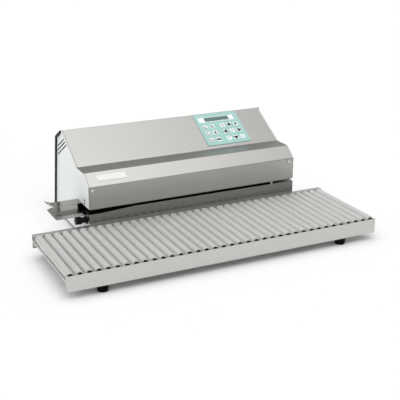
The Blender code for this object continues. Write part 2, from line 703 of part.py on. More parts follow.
def vent_cutters(panel_low, panel_high):
    """The slits below the rear bevel, each as long as the panel allows at its height."""
    bevel = atan2(-BEVEL_DROP, BEVEL_RUN)
    along = Vector((cos(bevel), sin(bevel)))
    across = Vector((sin(bevel), -cos(bevel)))
    corner = Vector((REAR_TOP_Y, REAR_TOP_Z))
    rear_inward = Vector((-cos(REAR_LEAN), -sin(REAR_LEAN)))
    slope_inward = Vector((sin(UPPER_SLOPE), -cos(UPPER_SLOPE)))
    slits = []
    for row in range(VENT_COUNT):
        line = corner + across * (VENT_DROP + row * VENT_PITCH)
        rear = reach_edge(line, along, corner, rear_inward, VENT_REAR_MARGIN)
        front = reach_edge(line, along, Vector((BROW_Y, SHELF_Z)), slope_inward, VENT_SLOPE_MARGIN)
        outline = []
        for end, turn in ((rear, -pi / 2), (front, pi / 2)):
            for k in range(ARC_STEPS // 2 + 1):
                angle = bevel + turn + pi * k / (ARC_STEPS // 2)
                outline.append((end.x + VENT_WIDTH / 2 * cos(angle), end.y + VENT_WIDTH / 2 * sin(angle)))
        slits.append((outline, "X", panel_low - OVERRUN, panel_high + OVERRUN))
    return slits


def make_side_panel(name, low, high, slot_floor, parent):
    """One flat side panel with its slot and vent slits."""
    panel = prisms(name, [(panel_outline(slot_floor), "X", low, high)], parent)
    boolean(panel, prisms(f"{name}_vents", vent_cutters(low, high), parent), "DIFFERENCE")
    return coloured(panel, "E4E8E7", 0.35, 0.0)


def make_side_panels(parent):
    """Both side panels; only the left one's slot makes room for the in-feed tray."""
    left_floor = TRAY_TOP_Z - TRAY_SHEET - GAP
    right_floor = BAR_TOP_Z - LEAD_IN_DROP
    for name, low, floor in (("left_side_panel", HOUSING_LEFT_X, left_floor),
                             ("right_side_panel", HOUSING_RIGHT_X - SIDE_THICKNESS, right_floor)):
        make_side_panel(name, low, low + SIDE_THICKNESS, floor, parent)


def keypad_frame():
    """The frame at the keypad's lower left corner: its own Y runs up the slope and its own Z points out."""
    y = BROW_Y + KEYPAD_LOW_MARGIN * cos(UPPER_SLOPE)
    z = SHELF_Z + KEYPAD_LOW_MARGIN * sin(UPPER_SLOPE)
    return Matrix.Translation((KEYPAD_LEFT_X, y, z)) @ Matrix.Rotation(UPPER_SLOPE, 4, "X")


def window_outline(margin):
    """The display window on the keypad, larger by a margin all round."""
    return rectangle(WINDOW_LEFT - margin, WINDOW_RIGHT + margin, WINDOW_LOW - margin, WINDOW_HIGH + margin)


def make_top_cover(parent):
    """The bent steel cover from the slot's lip to the ridge, with the display's cut-out."""
    path = cover_path()
    path[-1] = (RIDGE_Y - GAP, RIDGE_Z - GAP * tan(UPPER_SLOPE))
    inner = offset_path(path, COVER_SHEET)
    inner[-1] = (path[-1][0], path[-1][1] - COVER_SHEET / cos(UPPER_SLOPE))
    inset = SIDE_THICKNESS + GAP
    cover = prisms("top_cover", [
        (path + inner[::-1], "X", HOUSING_LEFT_X + inset, HOUSING_RIGHT_X - inset)], parent)
    window = prisms("display_cutout", [(window_outline(GAP), "Z", -COVER_SHEET - OVERRUN, OVERRUN)], parent)
    window.matrix_local = keypad_frame()
    boolean(cover, window, "DIFFERENCE")
    return coloured(shade_round(cover), "C9C8C5", 0.35, 1.0)


def make_keypad(parent):
    """The keypad film with raised key fields and a window for the display."""
    outline = rounded(rectangle(0.0, KEYPAD_WIDTH, 0.0, KEYPAD_HEIGHT), KEYPAD_CORNER, closed=True)
    film = prisms("keypad_membrane", [(outline, "Z", GAP, GAP + KEYPAD_FILM)], parent)
    film.matrix_local = keypad_frame()
    half = KEY_SIZE / 2
    keys = []
    for x in [share * KEYPAD_WIDTH for share in KEY_COLUMN_SHARES]:
        for y in [share * KEYPAD_HEIGHT for share in KEY_ROW_SHARES]:
            keys.append((rectangle(x - half, x + half, y - half, y + half), "Z", GAP + KEYPAD_FILM / 2,
                         GAP + KEYPAD_FILM + KEY_RISE))
    fields = prisms("key_fields", keys, parent)
    fields.matrix_local = keypad_frame()
    boolean(film, fields, "UNION")
    hole = prisms("film_window", [(window_outline(GAP), "Z", -OVERRUN, OVERRUN)], parent)
    hole.matrix_local = keypad_frame()
    boolean(film, hole, "DIFFERENCE")
    return coloured(film, "A9CFC9", 0.45, 0.0)


def make_display(parent):
    """The display: a glass block in the window, on a board behind the cover."""
    display = prisms("display_module", [
        (window_outline(0.0), "Z", -DISPLAY_DEPTH, GAP + KEYPAD_FILM)], parent)
    board = prisms("display_board", [
        (window_outline(DISPLAY_BOARD_MARGIN), "Z", -DISPLAY_DEPTH - BOARD_THICKNESS,
         -DISPLAY_DEPTH + BOARD_THICKNESS / 2)], parent)
    for obj in (display, board):
        obj.matrix_local = keypad_frame()
    boolean(display, board, "UNION")
    return coloured(display, "4E7A72", 0.1, 0.0)


def make_control_board(parent):
    """The board behind the keypad: it carries the display and hangs on posts under the cover."""
    top = -DISPLAY_DEPTH - BOARD_THICKNESS - GAP
    low = top - BOARD_THICKNESS
    margin = BOARD_MARGIN
    board = prisms("control_board", [
        (rectangle(margin, KEYPAD_WIDTH - margin, margin, KEYPAD_HEIGHT - margin), "Z", low, top)], parent)
    inset = margin + BOARD_POST_INSET
    bite = low + BOARD_THICKNESS / 2
    fittings = [(circle(BOARD_POST_RADIUS, JOURNAL_SIDES, x, y), "Z", bite, -COVER_SHEET - GAP)
                for x in (inset, KEYPAD_WIDTH - inset) for y in (inset, KEYPAD_HEIGHT - inset)]
    x = KEYPAD_WIDTH / 2
    y = KEY_ROW_SHARES[0] * KEYPAD_HEIGHT
    plug = rectangle(x - BOARD_PLUG_WIDTH / 2, x + BOARD_PLUG_WIDTH / 2,
                     y - BOARD_PLUG_DEPTH / 2, y + BOARD_PLUG_DEPTH / 2)
    fittings.append((plug, "Z", low - BOARD_PLUG_HEIGHT, bite))
    fitted = prisms("board_fittings", fittings, parent)
    for obj in (board, fitted):
        obj.matrix_local = keypad_frame()
    boolean(board, fitted, "UNION")
    return coloured(board, "2F6B3F", 0.5, 0.0)


def inlet_frame():
    """The frame on the rear cover's outer side, at the mains inlet's middle."""
    y = REAR_BASE_Y - INLET_RISE * tan(REAR_LEAN)
    turn = Matrix(((-1, 0, 0, 0), (0, 0, 1, 0), (0, 1, 0, 0), (0, 0, 0, 1)))
    lean = Matrix.Rotation(REAR_LEAN, 4, "X")
    middle = (HOUSING_RIGHT_X - INLET_RIGHT_INSET, y, HOUSING_BASE_Z + INLET_RISE)
    return Matrix.Translation(middle) @ lean @ turn


def inlet_outline(side, end):
    """The inlet's outline on the rear cover, larger by side in its width and by end in its height."""
    across = INLET_WIDTH / 2 + side
    up = INLET_HEIGHT / 2 + end
    return rectangle(-across, across, -up, up)


def make_rear_cover(parent):
    """The black rear cover: a shallow pan whose rim laps over both side panels, with the inlet's cut-out."""
    outer = [(RIDGE_Y + GAP, RIDGE_Z - GAP * tan(UPPER_SLOPE))] + rear_path()[1:]
    inner = rear_line(REAR_RETURN)
    inner[0] = (inner[0][0] + GAP, inner[0][1])
    cover = prisms("rear_cover", [(outer + inner[::-1], "X", HOUSING_LEFT_X - REAR_OVERHANG,
                                   HOUSING_RIGHT_X + REAR_OVERHANG)], parent)
    wall = rear_line(REAR_SHEET)
    deep = rear_line(REAR_RETURN + OVERRUN)
    wall[0] = (wall[0][0] - OVERRUN, wall[0][1] + OVERRUN * tan(UPPER_SLOPE))
    deep[0] = (deep[0][0] - OVERRUN, deep[0][1])
    wall[-1] = (wall[-1][0] + OVERRUN * tan(REAR_LEAN), HOUSING_BASE_Z - OVERRUN)
    deep[-1] = (deep[-1][0], HOUSING_BASE_Z - OVERRUN)
    pocket = prisms("rear_pocket", [(wall + deep[::-1], "X", HOUSING_LEFT_X - GAP,
                                     HOUSING_RIGHT_X + GAP)], parent)
    boolean(cover, pocket, "DIFFERENCE")
    cutout = prisms("inlet_cutout", [
        (inlet_outline(GAP, GAP), "Z", -REAR_SHEET - OVERRUN, OVERRUN)], parent)
    cutout.matrix_local = inlet_frame()
    boolean(cover, cutout, "DIFFERENCE")
    return coloured(cover, "1B1B1C", 0.5, 0.0)


def make_power_inlet(parent):
    """The mains inlet with a socket below and the rocker's well above, in one flanged body."""
    inlet = prisms("power_inlet", [(inlet_outline(0.0, 0.0), "Z", -INLET_DEPTH, INLET_FACE)], parent)
    outline = inlet_outline(INLET_FLANGE_SIDE, INLET_FLANGE_END)
    outline = rounded(outline, INLET_FLANGE_THICKNESS, closed=True)
    flange = prisms("inlet_flange", [(outline, "Z", GAP, INLET_FACE)], parent)
    well = ROCKER_WIDTH / 2 + ROCKER_CLEARANCE
    floor = INLET_FACE - ROCKER_DEPTH - ROCKER_TIP - ROCKER_CLEARANCE
    wells = prisms("inlet_wells", [
        (rectangle(-SOCKET_WIDTH / 2, SOCKET_WIDTH / 2, SOCKET_LOW, SOCKET_LOW + SOCKET_HEIGHT), "Z",
         INLET_FACE - SOCKET_DEPTH, INLET_FACE + OVERRUN),
        (rectangle(-well, well, ROCKER_RISE - ROCKER_WELL / 2, ROCKER_RISE + ROCKER_WELL / 2), "Z",
         floor, INLET_FACE + OVERRUN)], parent)
    for obj in (inlet, flange, wells):
        obj.matrix_local = inlet_frame()
    boolean(inlet, flange, "UNION")
    boolean(inlet, wells, "DIFFERENCE")
    return coloured(inlet, "202022", 0.5, 0.0)


def make_power_rocker(parent):
    """The rocker, tilted to its off side; its origin is on its pivot."""
    half = ROCKER_HEIGHT / 2
    outline = [(-half, -ROCKER_DEPTH / 2), (half, -ROCKER_DEPTH / 2), (half, ROCKER_TIP),
               (0.0, ROCKER_WAIST), (-half, ROCKER_TIP)]
    rocker = prisms("power_rocker", [(outline, "X", -ROCKER_WIDTH / 2, ROCKER_WIDTH / 2)], parent)
    pivot = Matrix.Translation((0.0, ROCKER_RISE, INLET_FACE - ROCKER_WAIST))
    rocker.matrix_local = inlet_frame() @ pivot @ Matrix.Rotation(ROCKER_TILT, 4, "X")
    return coloured(rocker, "101011", 0.4, 0.0)


def gear_guide(name, x, z, turn, parent):
    """A spur gear on a shaft, as a body that is joined into its pulley."""
    pitch_radius = (UPPER_SHAFT_Z - LOWER_SHAFT_Z) / 2
    root = pitch_radius - GEAR_DEDENDUM
    tip = pitch_radius + GEAR_ADDENDUM
    step = 2 * pi / GEAR_TEETH
    outline = []
    for tooth in range(GEAR_TEETH):
        middle = tooth * step + turn
        for share, radius in ((-GEAR_ROOT_SHARE, root), (-GEAR_TIP_SHARE, tip), (GEAR_TIP_SHARE, tip),
                              (GEAR_ROOT_SHARE, root)):
            angle = middle + share * step / 2
            outline.append((radius * cos(angle), radius * sin(angle)))
    gear = prisms(name, [(outline, "Y", GEAR_Y - GEAR_WIDTH / 2, GEAR_Y + GEAR_WIDTH / 2)], parent)
    gear.location = (x, 0.0, z)
    return gear


def make_pulley(name, x, z, parent, gear_turn=None):
    """A pulley on its shaft; a driven one also carries the gear that ties it to its neighbour."""
    front = BELT_Y - PULLEY_WIDTH / 2
    rear = BELT_Y + PULLEY_WIDTH / 2
    tail = FRAME_Y + FRAME_SHEET + SHAFT_TAIL
    profile = [(HUB_RADIUS, front - HUB_LENGTH), (HUB_RADIUS, front), (PULLEY_RADIUS, front),
               (PULLEY_RADIUS, rear), (HUB_RADIUS, rear), (HUB_RADIUS, FRAME_Y - GAP),
               (SHAFT_RADIUS, FRAME_Y - GAP), (SHAFT_RADIUS, tail)]
    pulley = turned(name, profile, "Y", TURNED_SIDES, parent)
    pulley.location = (x, 0.0, z)
    if gear_turn is not None:
        boolean(pulley, gear_guide(f"{name}_gear", x, z, gear_turn, parent), "UNION")
    return coloured(shade_round(pulley), "B9BABA", 0.35, 1.0)


def make_pulleys(parent):
    """Four pulleys; the two on the out-feed side are driven and in mesh."""
    tooth_up = pi / 2
    make_pulley("lower_drive_pulley", RIGHT_SHAFT_X, LOWER_SHAFT_Z, parent, tooth_up)
    make_pulley("upper_drive_pulley", RIGHT_SHAFT_X, UPPER_SHAFT_Z, parent, tooth_up + pi / GEAR_TEETH)
    make_pulley("upper_idler_pulley", LEFT_SHAFT_X, UPPER_SHAFT_Z, parent)
    make_pulley("lower_idler_pulley", LEFT_SHAFT_X, LOWER_SHAFT_Z, parent)


def belt_loop(radius, z, steps):
    """The stadium line round both pulleys of one belt, as (x, z)."""
    points = []
    for middle, start in ((RIGHT_SHAFT_X, -pi / 2), (LEFT_SHAFT_X, pi / 2)):
        for k in range(steps + 1):
            angle = start + pi * k / steps
            points.append((middle + radius * cos(angle), z + radius * sin(angle)))
    return points


def make_belt(name, z, parent):
    """One closed transport belt round its two pulleys."""
    bm = bmesh.new()
    inner = PULLEY_RADIUS + GAP
    front = BELT_Y - BELT_WIDTH / 2
    rear = BELT_Y + BELT_WIDTH / 2
    outer = inner + BELT_THICKNESS
    rings = []
    for radius, y in ((outer, front), (outer, rear), (inner, rear), (inner, front)):
        rings.append([bm.verts.new((a, y, b)) for a, b in belt_loop(radius, z, 2 * ARC_STEPS)])
    join_rings(bm, rings + rings[:1])
    belt = add_object(name, finish_mesh(name, bm), parent)
    return coloured(shade_round(belt), "5A3A26", 0.6, 0.0)


def heater_blocks(parent):
    """An upper and a lower heating block between the runs of the belts, as bodies joined into the frame."""
    span = RIGHT_SHAFT_X - LEFT_SHAFT_X
    left = LEFT_SHAFT_X + HEATER_START_SHARE * span
    right = left + HEATER_LENGTH_SHARE * span
    front = BELT_Y - HEATER_WIDTH / 2
    rear = BELT_Y + HEATER_WIDTH / 2
    wall = FRAME_Y + FRAME_SHEET / 2
    pieces = []
    for shaft_z, side in ((UPPER_SHAFT_Z, -1), (LOWER_SHAFT_Z, 1)):
        face = shaft_z + side * (PULLEY_RADIUS - GAP)
        back = face - side * HEATER_HEIGHT
        arm = back + side * HEATER_ARM
        outline = [(front, face), (rear, face), (rear, arm), (wall, arm), (wall, back), (front, back)]
        pieces.append((outline, "X", left, right))
    return prisms("heater_blocks", pieces, parent)


def make_mechanism_frame(parent):
    """The upright plate that carries the four shafts, with a foot flange on the base tray."""
    floor = HOUSING_BASE_Z + BASE_SHEET + GAP
    rear = FRAME_Y + FRAME_SHEET
    path = [(FRAME_Y - FRAME_FLANGE, floor), (rear, floor), (rear, UPPER_SHAFT_Z + FRAME_HEAD)]
    path = rounded(path, FRAME_BEND)
    frame = prisms("mechanism_frame", [
        (sheet_outline(path, -FRAME_SHEET), "X", HOUSING_LEFT_X + FRAME_END_INSET,
         HOUSING_RIGHT_X - FRAME_END_INSET)], parent)
    bores = []
    radius = (SHAFT_RADIUS + RUNNING_GAP) / cos(pi / TURNED_SIDES)
    for x in (LEFT_SHAFT_X, RIGHT_SHAFT_X):
        for z in (LOWER_SHAFT_Z, UPPER_SHAFT_Z):
            bores.append((circle(radius, TURNED_SIDES, x, z), "Y", FRAME_Y - OVERRUN, rear + OVERRUN))
    boolean(frame, prisms("shaft_bores", bores, parent), "DIFFERENCE")
    boolean(frame, heater_blocks(parent), "UNION")
    return coloured(frame, "9FA1A2", 0.45, 1.0)


def make_motor(parent):
    """The gear motor behind the frame, in line with the lower drive pulley."""
    front = FRAME_Y + FRAME_SHEET + GAP
    head = front + MOTOR_HEAD_LENGTH
    floor = front + MOTOR_RECESS_DEPTH
    profile = [(MOTOR_RADIUS, front + MOTOR_LENGTH), (MOTOR_RADIUS, head), (MOTOR_HEAD_RADIUS, head),
               (MOTOR_HEAD_RADIUS, front), (MOTOR_RECESS_RADIUS, front), (MOTOR_RECESS_RADIUS, floor)]
    motor = turned("drive_motor", profile, "Y", TURNED_SIDES, parent)
    motor.location = (RIGHT_SHAFT_X, 0.0, LOWER_SHAFT_Z)
    return coloured(shade_round(motor), "3C3E40", 0.5, 0.6)


def main():
    clear_scene()
    sealer = bpy.data.objects.new("sealer", None)
    bpy.context.collection.objects.link(sealer)
    sealer.location = (0.0, -MODEL_MIDDLE_Y, 0.0)
    make_table_frame(sealer)
    make_rollers(sealer)
    make_base_tray(sealer)
    make_lower_bar(sealer)
    make_margin_knob(sealer)
    make_infeed_tray(sealer)
    make_infeed_guide(sealer)
    make_side_panels(sealer)
    make_top_cover(sealer)
    make_rear_cover(sealer)
    make_keypad(sealer)
    make_display(sealer)
    make_control_board(sealer)
    make_power_inlet(sealer)
    make_power_rocker(sealer)
    make_mechanism_frame(sealer)
    make_pulleys(sealer)
    make_belt("upper_belt", UPPER_SHAFT_Z, sealer)
    make_belt("lower_belt", LOWER_SHAFT_Z, sealer)
    make_motor(sealer)


main()
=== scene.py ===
"""Looks of a rotary heat sealer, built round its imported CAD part.

Metres, +Z up, +X along the slot from the in-feed, +Y from the operator towards the back.
"""

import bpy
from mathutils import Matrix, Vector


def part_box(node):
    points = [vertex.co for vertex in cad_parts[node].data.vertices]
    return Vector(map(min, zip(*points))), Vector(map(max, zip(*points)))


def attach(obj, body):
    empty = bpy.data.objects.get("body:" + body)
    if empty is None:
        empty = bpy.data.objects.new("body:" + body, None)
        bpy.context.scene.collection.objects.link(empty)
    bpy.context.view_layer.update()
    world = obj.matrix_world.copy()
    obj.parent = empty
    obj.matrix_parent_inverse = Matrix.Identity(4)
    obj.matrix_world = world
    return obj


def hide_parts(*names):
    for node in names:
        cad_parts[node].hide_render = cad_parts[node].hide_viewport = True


bl_info = {
    "name": "Rotary heat sealer",
    "version": (1, 0, 0),
    "blender": (4, 5, 0),
    "location": "View3D > Sidebar > Sealer",
    "description": "Finishes for a bench heat sealer with a roller table",
    "category": "Object",
}

from math import atan2, cos, pi, radians, sin, tan

import bmesh
import bpy
from bpy.props import FloatProperty, FloatVectorProperty, PointerProperty
from mathutils import Matrix, Vector

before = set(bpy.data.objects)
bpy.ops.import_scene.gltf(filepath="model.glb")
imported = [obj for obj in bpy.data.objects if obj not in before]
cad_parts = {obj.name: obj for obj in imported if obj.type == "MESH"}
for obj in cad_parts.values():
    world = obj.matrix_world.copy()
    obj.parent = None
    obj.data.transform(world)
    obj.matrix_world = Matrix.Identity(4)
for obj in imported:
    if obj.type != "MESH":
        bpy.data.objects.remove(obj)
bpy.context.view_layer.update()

BODY = "sealer_body"
ROLLERS = [f"roller_{number:02d}" for number in range(1, 38)]

# Where the CAD part stands
LEFT_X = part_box("left_side_panel")[0].x
RIGHT_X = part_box("right_side_panel")[1].x
FACE_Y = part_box("lower_bar")[0].y
BAR_TOP_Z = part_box("lower_bar")[1].z
SLOT_CEILING_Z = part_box("top_cover")[0].z
TABLE_FRONT_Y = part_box("table_frame")[0].y
TABLE_FOOT_HEIGHT = 0.0165
TABLE_FOOT_PLACES = (("left", -0.291), ("right", 0.285))
TABLE_FOOT_RADIUS = 0.0125
BASE_FOOT_HEIGHT = 0.0075
JOURNAL_RADIUS = 0.0036
JOURNAL_LENGTH = 0.0042

# The two slopes of the cover, as depth behind the face and height above the floor
FACE_TOP = (0.0, 0.1410)
LEDGE = (0.031, 0.1655)
BROW = (0.079, 0.1655)
RIDGE = (0.184, 0.2275)
LOWER_SLOPE = atan2(LEDGE[1] - FACE_TOP[1], LEDGE[0] - FACE_TOP[0])
UPPER_SLOPE = atan2(RIDGE[1] - BROW[1], RIDGE[0] - BROW[0])

# The keypad, counted from its film's lower left corner
KEYPAD_LEFT = 0.342
KEYPAD_RAISE = 0.011
FILM_TOP = 0.0011
KEY_TOP = 0.0015
KEY_COLUMNS = (0.0175, 0.0362, 0.0655, 0.0841, 0.1027)
KEY_ROWS = (0.0175, 0.0411, 0.0630)
WINDOW = (0.0245, 0.0920, 0.0810, 0.0945)
BEZEL = (0.0080, 0.1060, 0.0793, 0.0960)

# The camera, in metres, degrees and millimetres of lens and sensor
CAMERA_PLACE = (-0.8211, -1.7585, 0.7728)
CAMERA_AZIMUTH = radians(-26.16)
CAMERA_ELEVATION = radians(19.83)
CAMERA_ROLL = radians(0.248)
CAMERA_LENS = 78.64
CAMERA_SENSOR = 36
FLOOR_SIZE = 160

# The soft overhead light: its direction, where it starts and ends as a cosine, and its two strengths
LIGHT_TOWARDS = (-0.15, -0.10, 0.984)
LIGHT_EDGE = 0.60
LIGHT_CORE = 0.97
LIGHT_SURROUND = 0.50
LIGHT_STRENGTH = 2.30

# Fittings on the front and the sides, counted from the housing's left edge and its face
PLATE_CORNER = (0.026, 0.0135)
PLATE_ROUNDING = 0.0015
PLATE_RIM = 0.0007
PLATE_SINK = 0.0002
FACE_SCREW_LEFT = 0.0096
FACE_SCREW_RIGHT_INSET = 0.0134
FACE_SCREW_Z = 0.1325
PANEL_SCREW_DEPTH = 0.029
PANEL_SCREW_ROWS = (("upper", 0.1030), ("lower", 0.0955))
SPOOL_PLACE = (0.474, 0.006)
SPOOL_RADIUS = 0.0034
SPOOL_WAIST = 0.62

# Rear wall and the mains inlet on it. The rocker's faces lie at a reach and a rise from its pivot, at a slope.
REAR_LEAN = atan2(0.0365, 0.1975)
REAR_BASE = (0.259, 0.0075)
INLET_RIGHT_INSET = 0.090
INLET_RISE = 0.065
SOCKET_MIDDLE = -0.01475
SOCKET_FLOOR = -0.0137
ROCKER_PIVOT = (0.0124, 0.0007)
ROCKER_TILT = radians(9)
ROCKER_FACE = (0.0055, 0.00259, radians(10.2))
MARK_THICKNESS = 0.00016
PIN_WIDTH = 0.002
PIN_HEIGHT = 0.004
PIN_ROOT = 0.0006
PIN_SPACING = 0.007
PIN_RISE = 0.002
EARTH_PIN_LENGTH = 0.0135
PIN_LENGTH = 0.0115
REAR_SCREW_INSET = 0.012
REAR_SCREW_ROWS = (("lower", -0.045), ("upper", 0.122))
REAR_SCREW_RADIUS = 0.0034
REAR_SCREW_RISE = 0.0016


def linear(code):
    """An sRGB hex colour as the linear values that a shader takes."""
    values = [int(code[start:start + 2], 16) / 255 for start in (0, 2, 4)]
    return [v / 12.92 if v <= 0.04045 else ((v + 0.055) / 1.055) ** 2.4 for v in values] + [1.0]


def colour(name, code, description):
    """A colour property with its default."""
    return FloatVectorProperty(name=name, description=description, default=linear(code), size=4,
                               min=0.0, max=1.0, subtype="COLOR")


def length(name, value, description):
    """A length property with its default, in metres."""
    return FloatProperty(name=name, description=description, default=value, min=0.0, unit="LENGTH",
                         subtype="DISTANCE", precision=5)


class SealerSizes(bpy.types.PropertyGroup):
    """The sizes of what is added to the CAD part."""

    edge_round: length("Sheet edge rounding", 0.0004, "Width of the rounded edge on cut and folded sheet")
    bar_round: length("Bar edge rounding", 0.0007, "Width of the rounded edge on the slot's lower bar")
    roller_edge: length("Roller edge rounding", 0.0006, "Width of the rounded edge at a roller's end")
    roller_rim: length("Roller rim", 0.0026, "Width of the plain rim at a roller's end")
    roller_recess: length("Roller recess", 0.0009, "Depth of the end cap in a roller's tube")
    screw_diameter: length("Face screw diameter", 0.0080, "Diameter of the domed screws on the front face")
    screw_rise: length("Face screw rise", 0.0030, "Height of the domed screws on the front face")
    dot_diameter: length("Panel screw diameter", 0.0048, "Diameter of the black screws on the side panels")
    plate_width: length("Plate width", 0.0705, "Width of the bare plate on the lower slope")
    plate_height: length("Plate height", 0.0165, "Height of the bare plate on the lower slope")
    plate_thickness: length("Plate thickness", 0.0008, "Thickness of the bare plate")
    print_thickness: length("Print thickness", 0.00012, "Thickness of the marks and the display's frame")
    arrow_side: length("Arrow size", 0.0136, "Side of the four arrow marks on the keys")
    mark_size: length("Mark size", 0.0080, "Size of the small marks on the other keys")


class SealerColours(bpy.types.PropertyGroup):
    """The colours of the sealer's finishes."""

    cover_steel: colour("Cover steel", "ACABA8", "Ground stainless sheet of the cover")
    rail_steel: colour("Rail steel", "CCCBC8", "Satin stainless sheet of the table")
    bar_steel: colour("Bar steel", "8A8884", "Dark satin steel of the slot's lower bar")
    bright_steel: colour("Bright steel", "A8A6A1", "Polished steel of the in-feed sheets")
    roller_metal: colour("Roller metal", "CDCDCB", "Satin anodised tube of the rollers")
    white_paint: colour("White paint", "F0F4F3", "Powder coat of the side panels")
    black_paint: colour("Black paint", "0B0B0C", "Powder coat of the rear cover")
    black_plastic: colour("Black plastic", "040405", "Moulded plastic of the knob, inlet and rocker")
    rubber: colour("Rubber", "060606", "Feet")
    film: colour("Film", "9DC7C0", "Printed polyester film of the keypad")
    key_white: colour("Key white", "EDEFF2", "Key fields and the display's frame")
    key_print: colour("Key print", "0D181C", "Dark marks on the keys")
    key_red: colour("Key print, red", "7A4A52", "Red-brown marks on three keys")
    display: colour("Display", "3C625B", "Liquid crystal display behind its glass")
    plate_white: colour("Plate white", "E4E4E2", "Bare enamelled plate on the lower slope")
    floor: colour("Floor", "EFEFEF", "Plain floor")


def deselect():
    """Leave edit mode and select nothing."""
    if bpy.context.mode != "OBJECT":
        bpy.ops.object.mode_set(mode="OBJECT")
    bpy.ops.object.select_all(action="DESELECT")


def activate(obj):
    """Make one object the only selected and active one."""
    deselect()
    obj.select_set(True)
    bpy.context.view_layer.objects.active = obj
    return obj


def pick(kind, test):
    """In edit mode, select the faces, edges or corners whose middle and direction pass a test."""
    modes = {"verts": (True, False, False), "edges": (False, True, False), "faces": (False, False, True)}
    bpy.context.tool_settings.mesh_select_mode = modes[kind]
    bm = bmesh.from_edit_mesh(bpy.context.object.data)
    for group in (bm.faces, bm.edges, bm.verts):
        for item in group:
            item.select_set(False)
    count = 0
    for item in getattr(bm, kind):
        if kind == "faces":
            middle, direction = item.calc_center_median(), item.normal
        elif kind == "edges":
            a, b = (corner.co for corner in item.verts)
            middle, direction = (a + b) / 2, (b - a).normalized()
        else:
            middle, direction = item.co, item.normal
        if test(middle, direction):
            item.select_set(True)
            count += 1
    bmesh.update_edit_mesh(bpy.context.object.data)
    if not count:
        raise RuntimeError(f"{bpy.context.object.name}: nothing to select")


def edit(obj):
    """Go into edit mode on one object."""
    activate(obj)
    bpy.ops.object.mode_set(mode="EDIT")


def add_modifier(obj, kind, **settings):
    """Add a modifier with its settings and apply it."""
    activate(obj)
    modifier = obj.modifiers.new(kind.lower(), kind)
    for key, value in settings.items():
        setattr(modifier, key, value)
    bpy.ops.object.modifier_apply(modifier=modifier.name)


def finish_piece(obj, name, material, body=BODY, replaces=(), smooth=38):
    """Settle a piece's place into its mesh, shade it, and let it ride on its body."""
    activate(obj)
    bpy.ops.object.transform_apply(location=True, rotation=True, scale=True)
    bpy.ops.object.mode_set(mode="EDIT")
    bpy.ops.mesh.select_all(action="SELECT")
    bpy.ops.mesh.remove_doubles(threshold=0.000005)
    bpy.ops.mesh.normals_make_consistent(inside=False)
    bpy.ops.object.mode_set(mode="OBJECT")
    bpy.ops.object.shade_smooth_by_angle(angle=radians(smooth))
    add_modifier(obj, "WEIGHTED_NORMAL", keep_sharp=True)
    obj.name = name
    obj.data.name = name
    if material is not None:
        obj.data.materials.clear()
        obj.data.materials.append(material)
    return settle(obj, body, replaces)


def settle(obj, body, replaces):
    """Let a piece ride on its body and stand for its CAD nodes."""
    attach(obj, body)
    if replaces:
        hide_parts(*replaces)
    return obj


def fine_copy(node, width, segments=2, angle=50):
    """A copy of a CAD node with its loose triangles merged and its sharp edges rounded."""
    deselect()
    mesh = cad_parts[node].data.copy()
    piece = bpy.data.objects.new(f"{node}_finish", mesh)
    bpy.context.scene.collection.objects.link(piece)
    edit(piece)
    bpy.ops.mesh.select_all(action="SELECT")
    bpy.ops.mesh.remove_doubles(threshold=0.00001)
    bpy.ops.mesh.dissolve_limited(angle_limit=radians(1))
    bpy.ops.object.mode_set(mode="OBJECT")
    if width:
        add_modifier(piece, "BEVEL", width=width, segments=segments, limit_method="ANGLE",
                     angle_limit=radians(angle), use_clamp_overlap=False)
    return piece


def join(pieces):
    """Join objects into the first one."""
    deselect()
    for piece in pieces:
        piece.select_set(True)
    bpy.context.view_layer.objects.active = pieces[0]
    bpy.ops.object.join()
    return pieces[0]


def place_mesh(obj, matrix):
    """Move an object's mesh, with the object itself back at the origin."""
    activate(obj)
    bpy.ops.object.transform_apply(location=True, rotation=True, scale=True)
    obj.data.transform(matrix)
    return obj


def plate(width, height, low, high, corner, middle=(0.0, 0.0)):
    """A thin plate with rounded corners and a softened upper rim, from low to high in Z."""
    deselect()
    bpy.ops.mesh.primitive_cube_add(size=1, location=(middle[0], middle[1], (low + high) / 2),
                                    scale=(width, height, high - low))
    obj = bpy.context.object
    bpy.ops.object.transform_apply(location=True, rotation=True, scale=True)
    bpy.ops.object.mode_set(mode="EDIT")
    pick("edges", lambda m, d: abs(d.z) > 0.9)
    bpy.ops.mesh.bevel(offset=corner, segments=4)
    pick("faces", lambda m, d: d.z > 0.9)
    bpy.ops.mesh.bevel(offset=min((high - low) * 0.35, corner * 0.4), segments=2)
    bpy.ops.object.mode_set(mode="OBJECT")
    return obj


def add_node(tree, kind, settings=None, links=None):
    """Add one shader node, set its properties and sockets, and link its inputs."""
    made = tree.nodes.new(kind)
    for key, value in (settings or {}).items():
        if key == "stops":
            elements = made.color_ramp.elements
            while len(elements) < len(value):
                elements.new(0.5)
            for element, (position, tint) in zip(elements, value):
                element.position, element.color = position, tint
        elif isinstance(key, int) or key in made.inputs:
            made.inputs[key].default_value = value
        else:
            setattr(made, key, value)
    for key, source in (links or {}).items():
        tree.links.new(source, made.inputs[key])
    return made


def start_material(name, **constants):
    """A new material with its shader's constant sockets set, and its tree, shader and Object coordinates."""
    material = bpy.data.materials.new(name)
    material.use_nodes = True
    tree = material.node_tree
    shader = tree.nodes["Principled BSDF"]
    for key, value in constants.items():
        shader.inputs[key.replace("_", " ")].default_value = value
    place = add_node(tree, "ShaderNodeTexCoord").outputs["Object"]
    return material, tree, shader, place


def tints(base, low, high):
    """Two ramp stops round a colour, at shares of its brightness."""
    return [(0.3, [v * low for v in base[:3]] + [1.0]), (0.7, [v * high for v in base[:3]] + [1.0])]


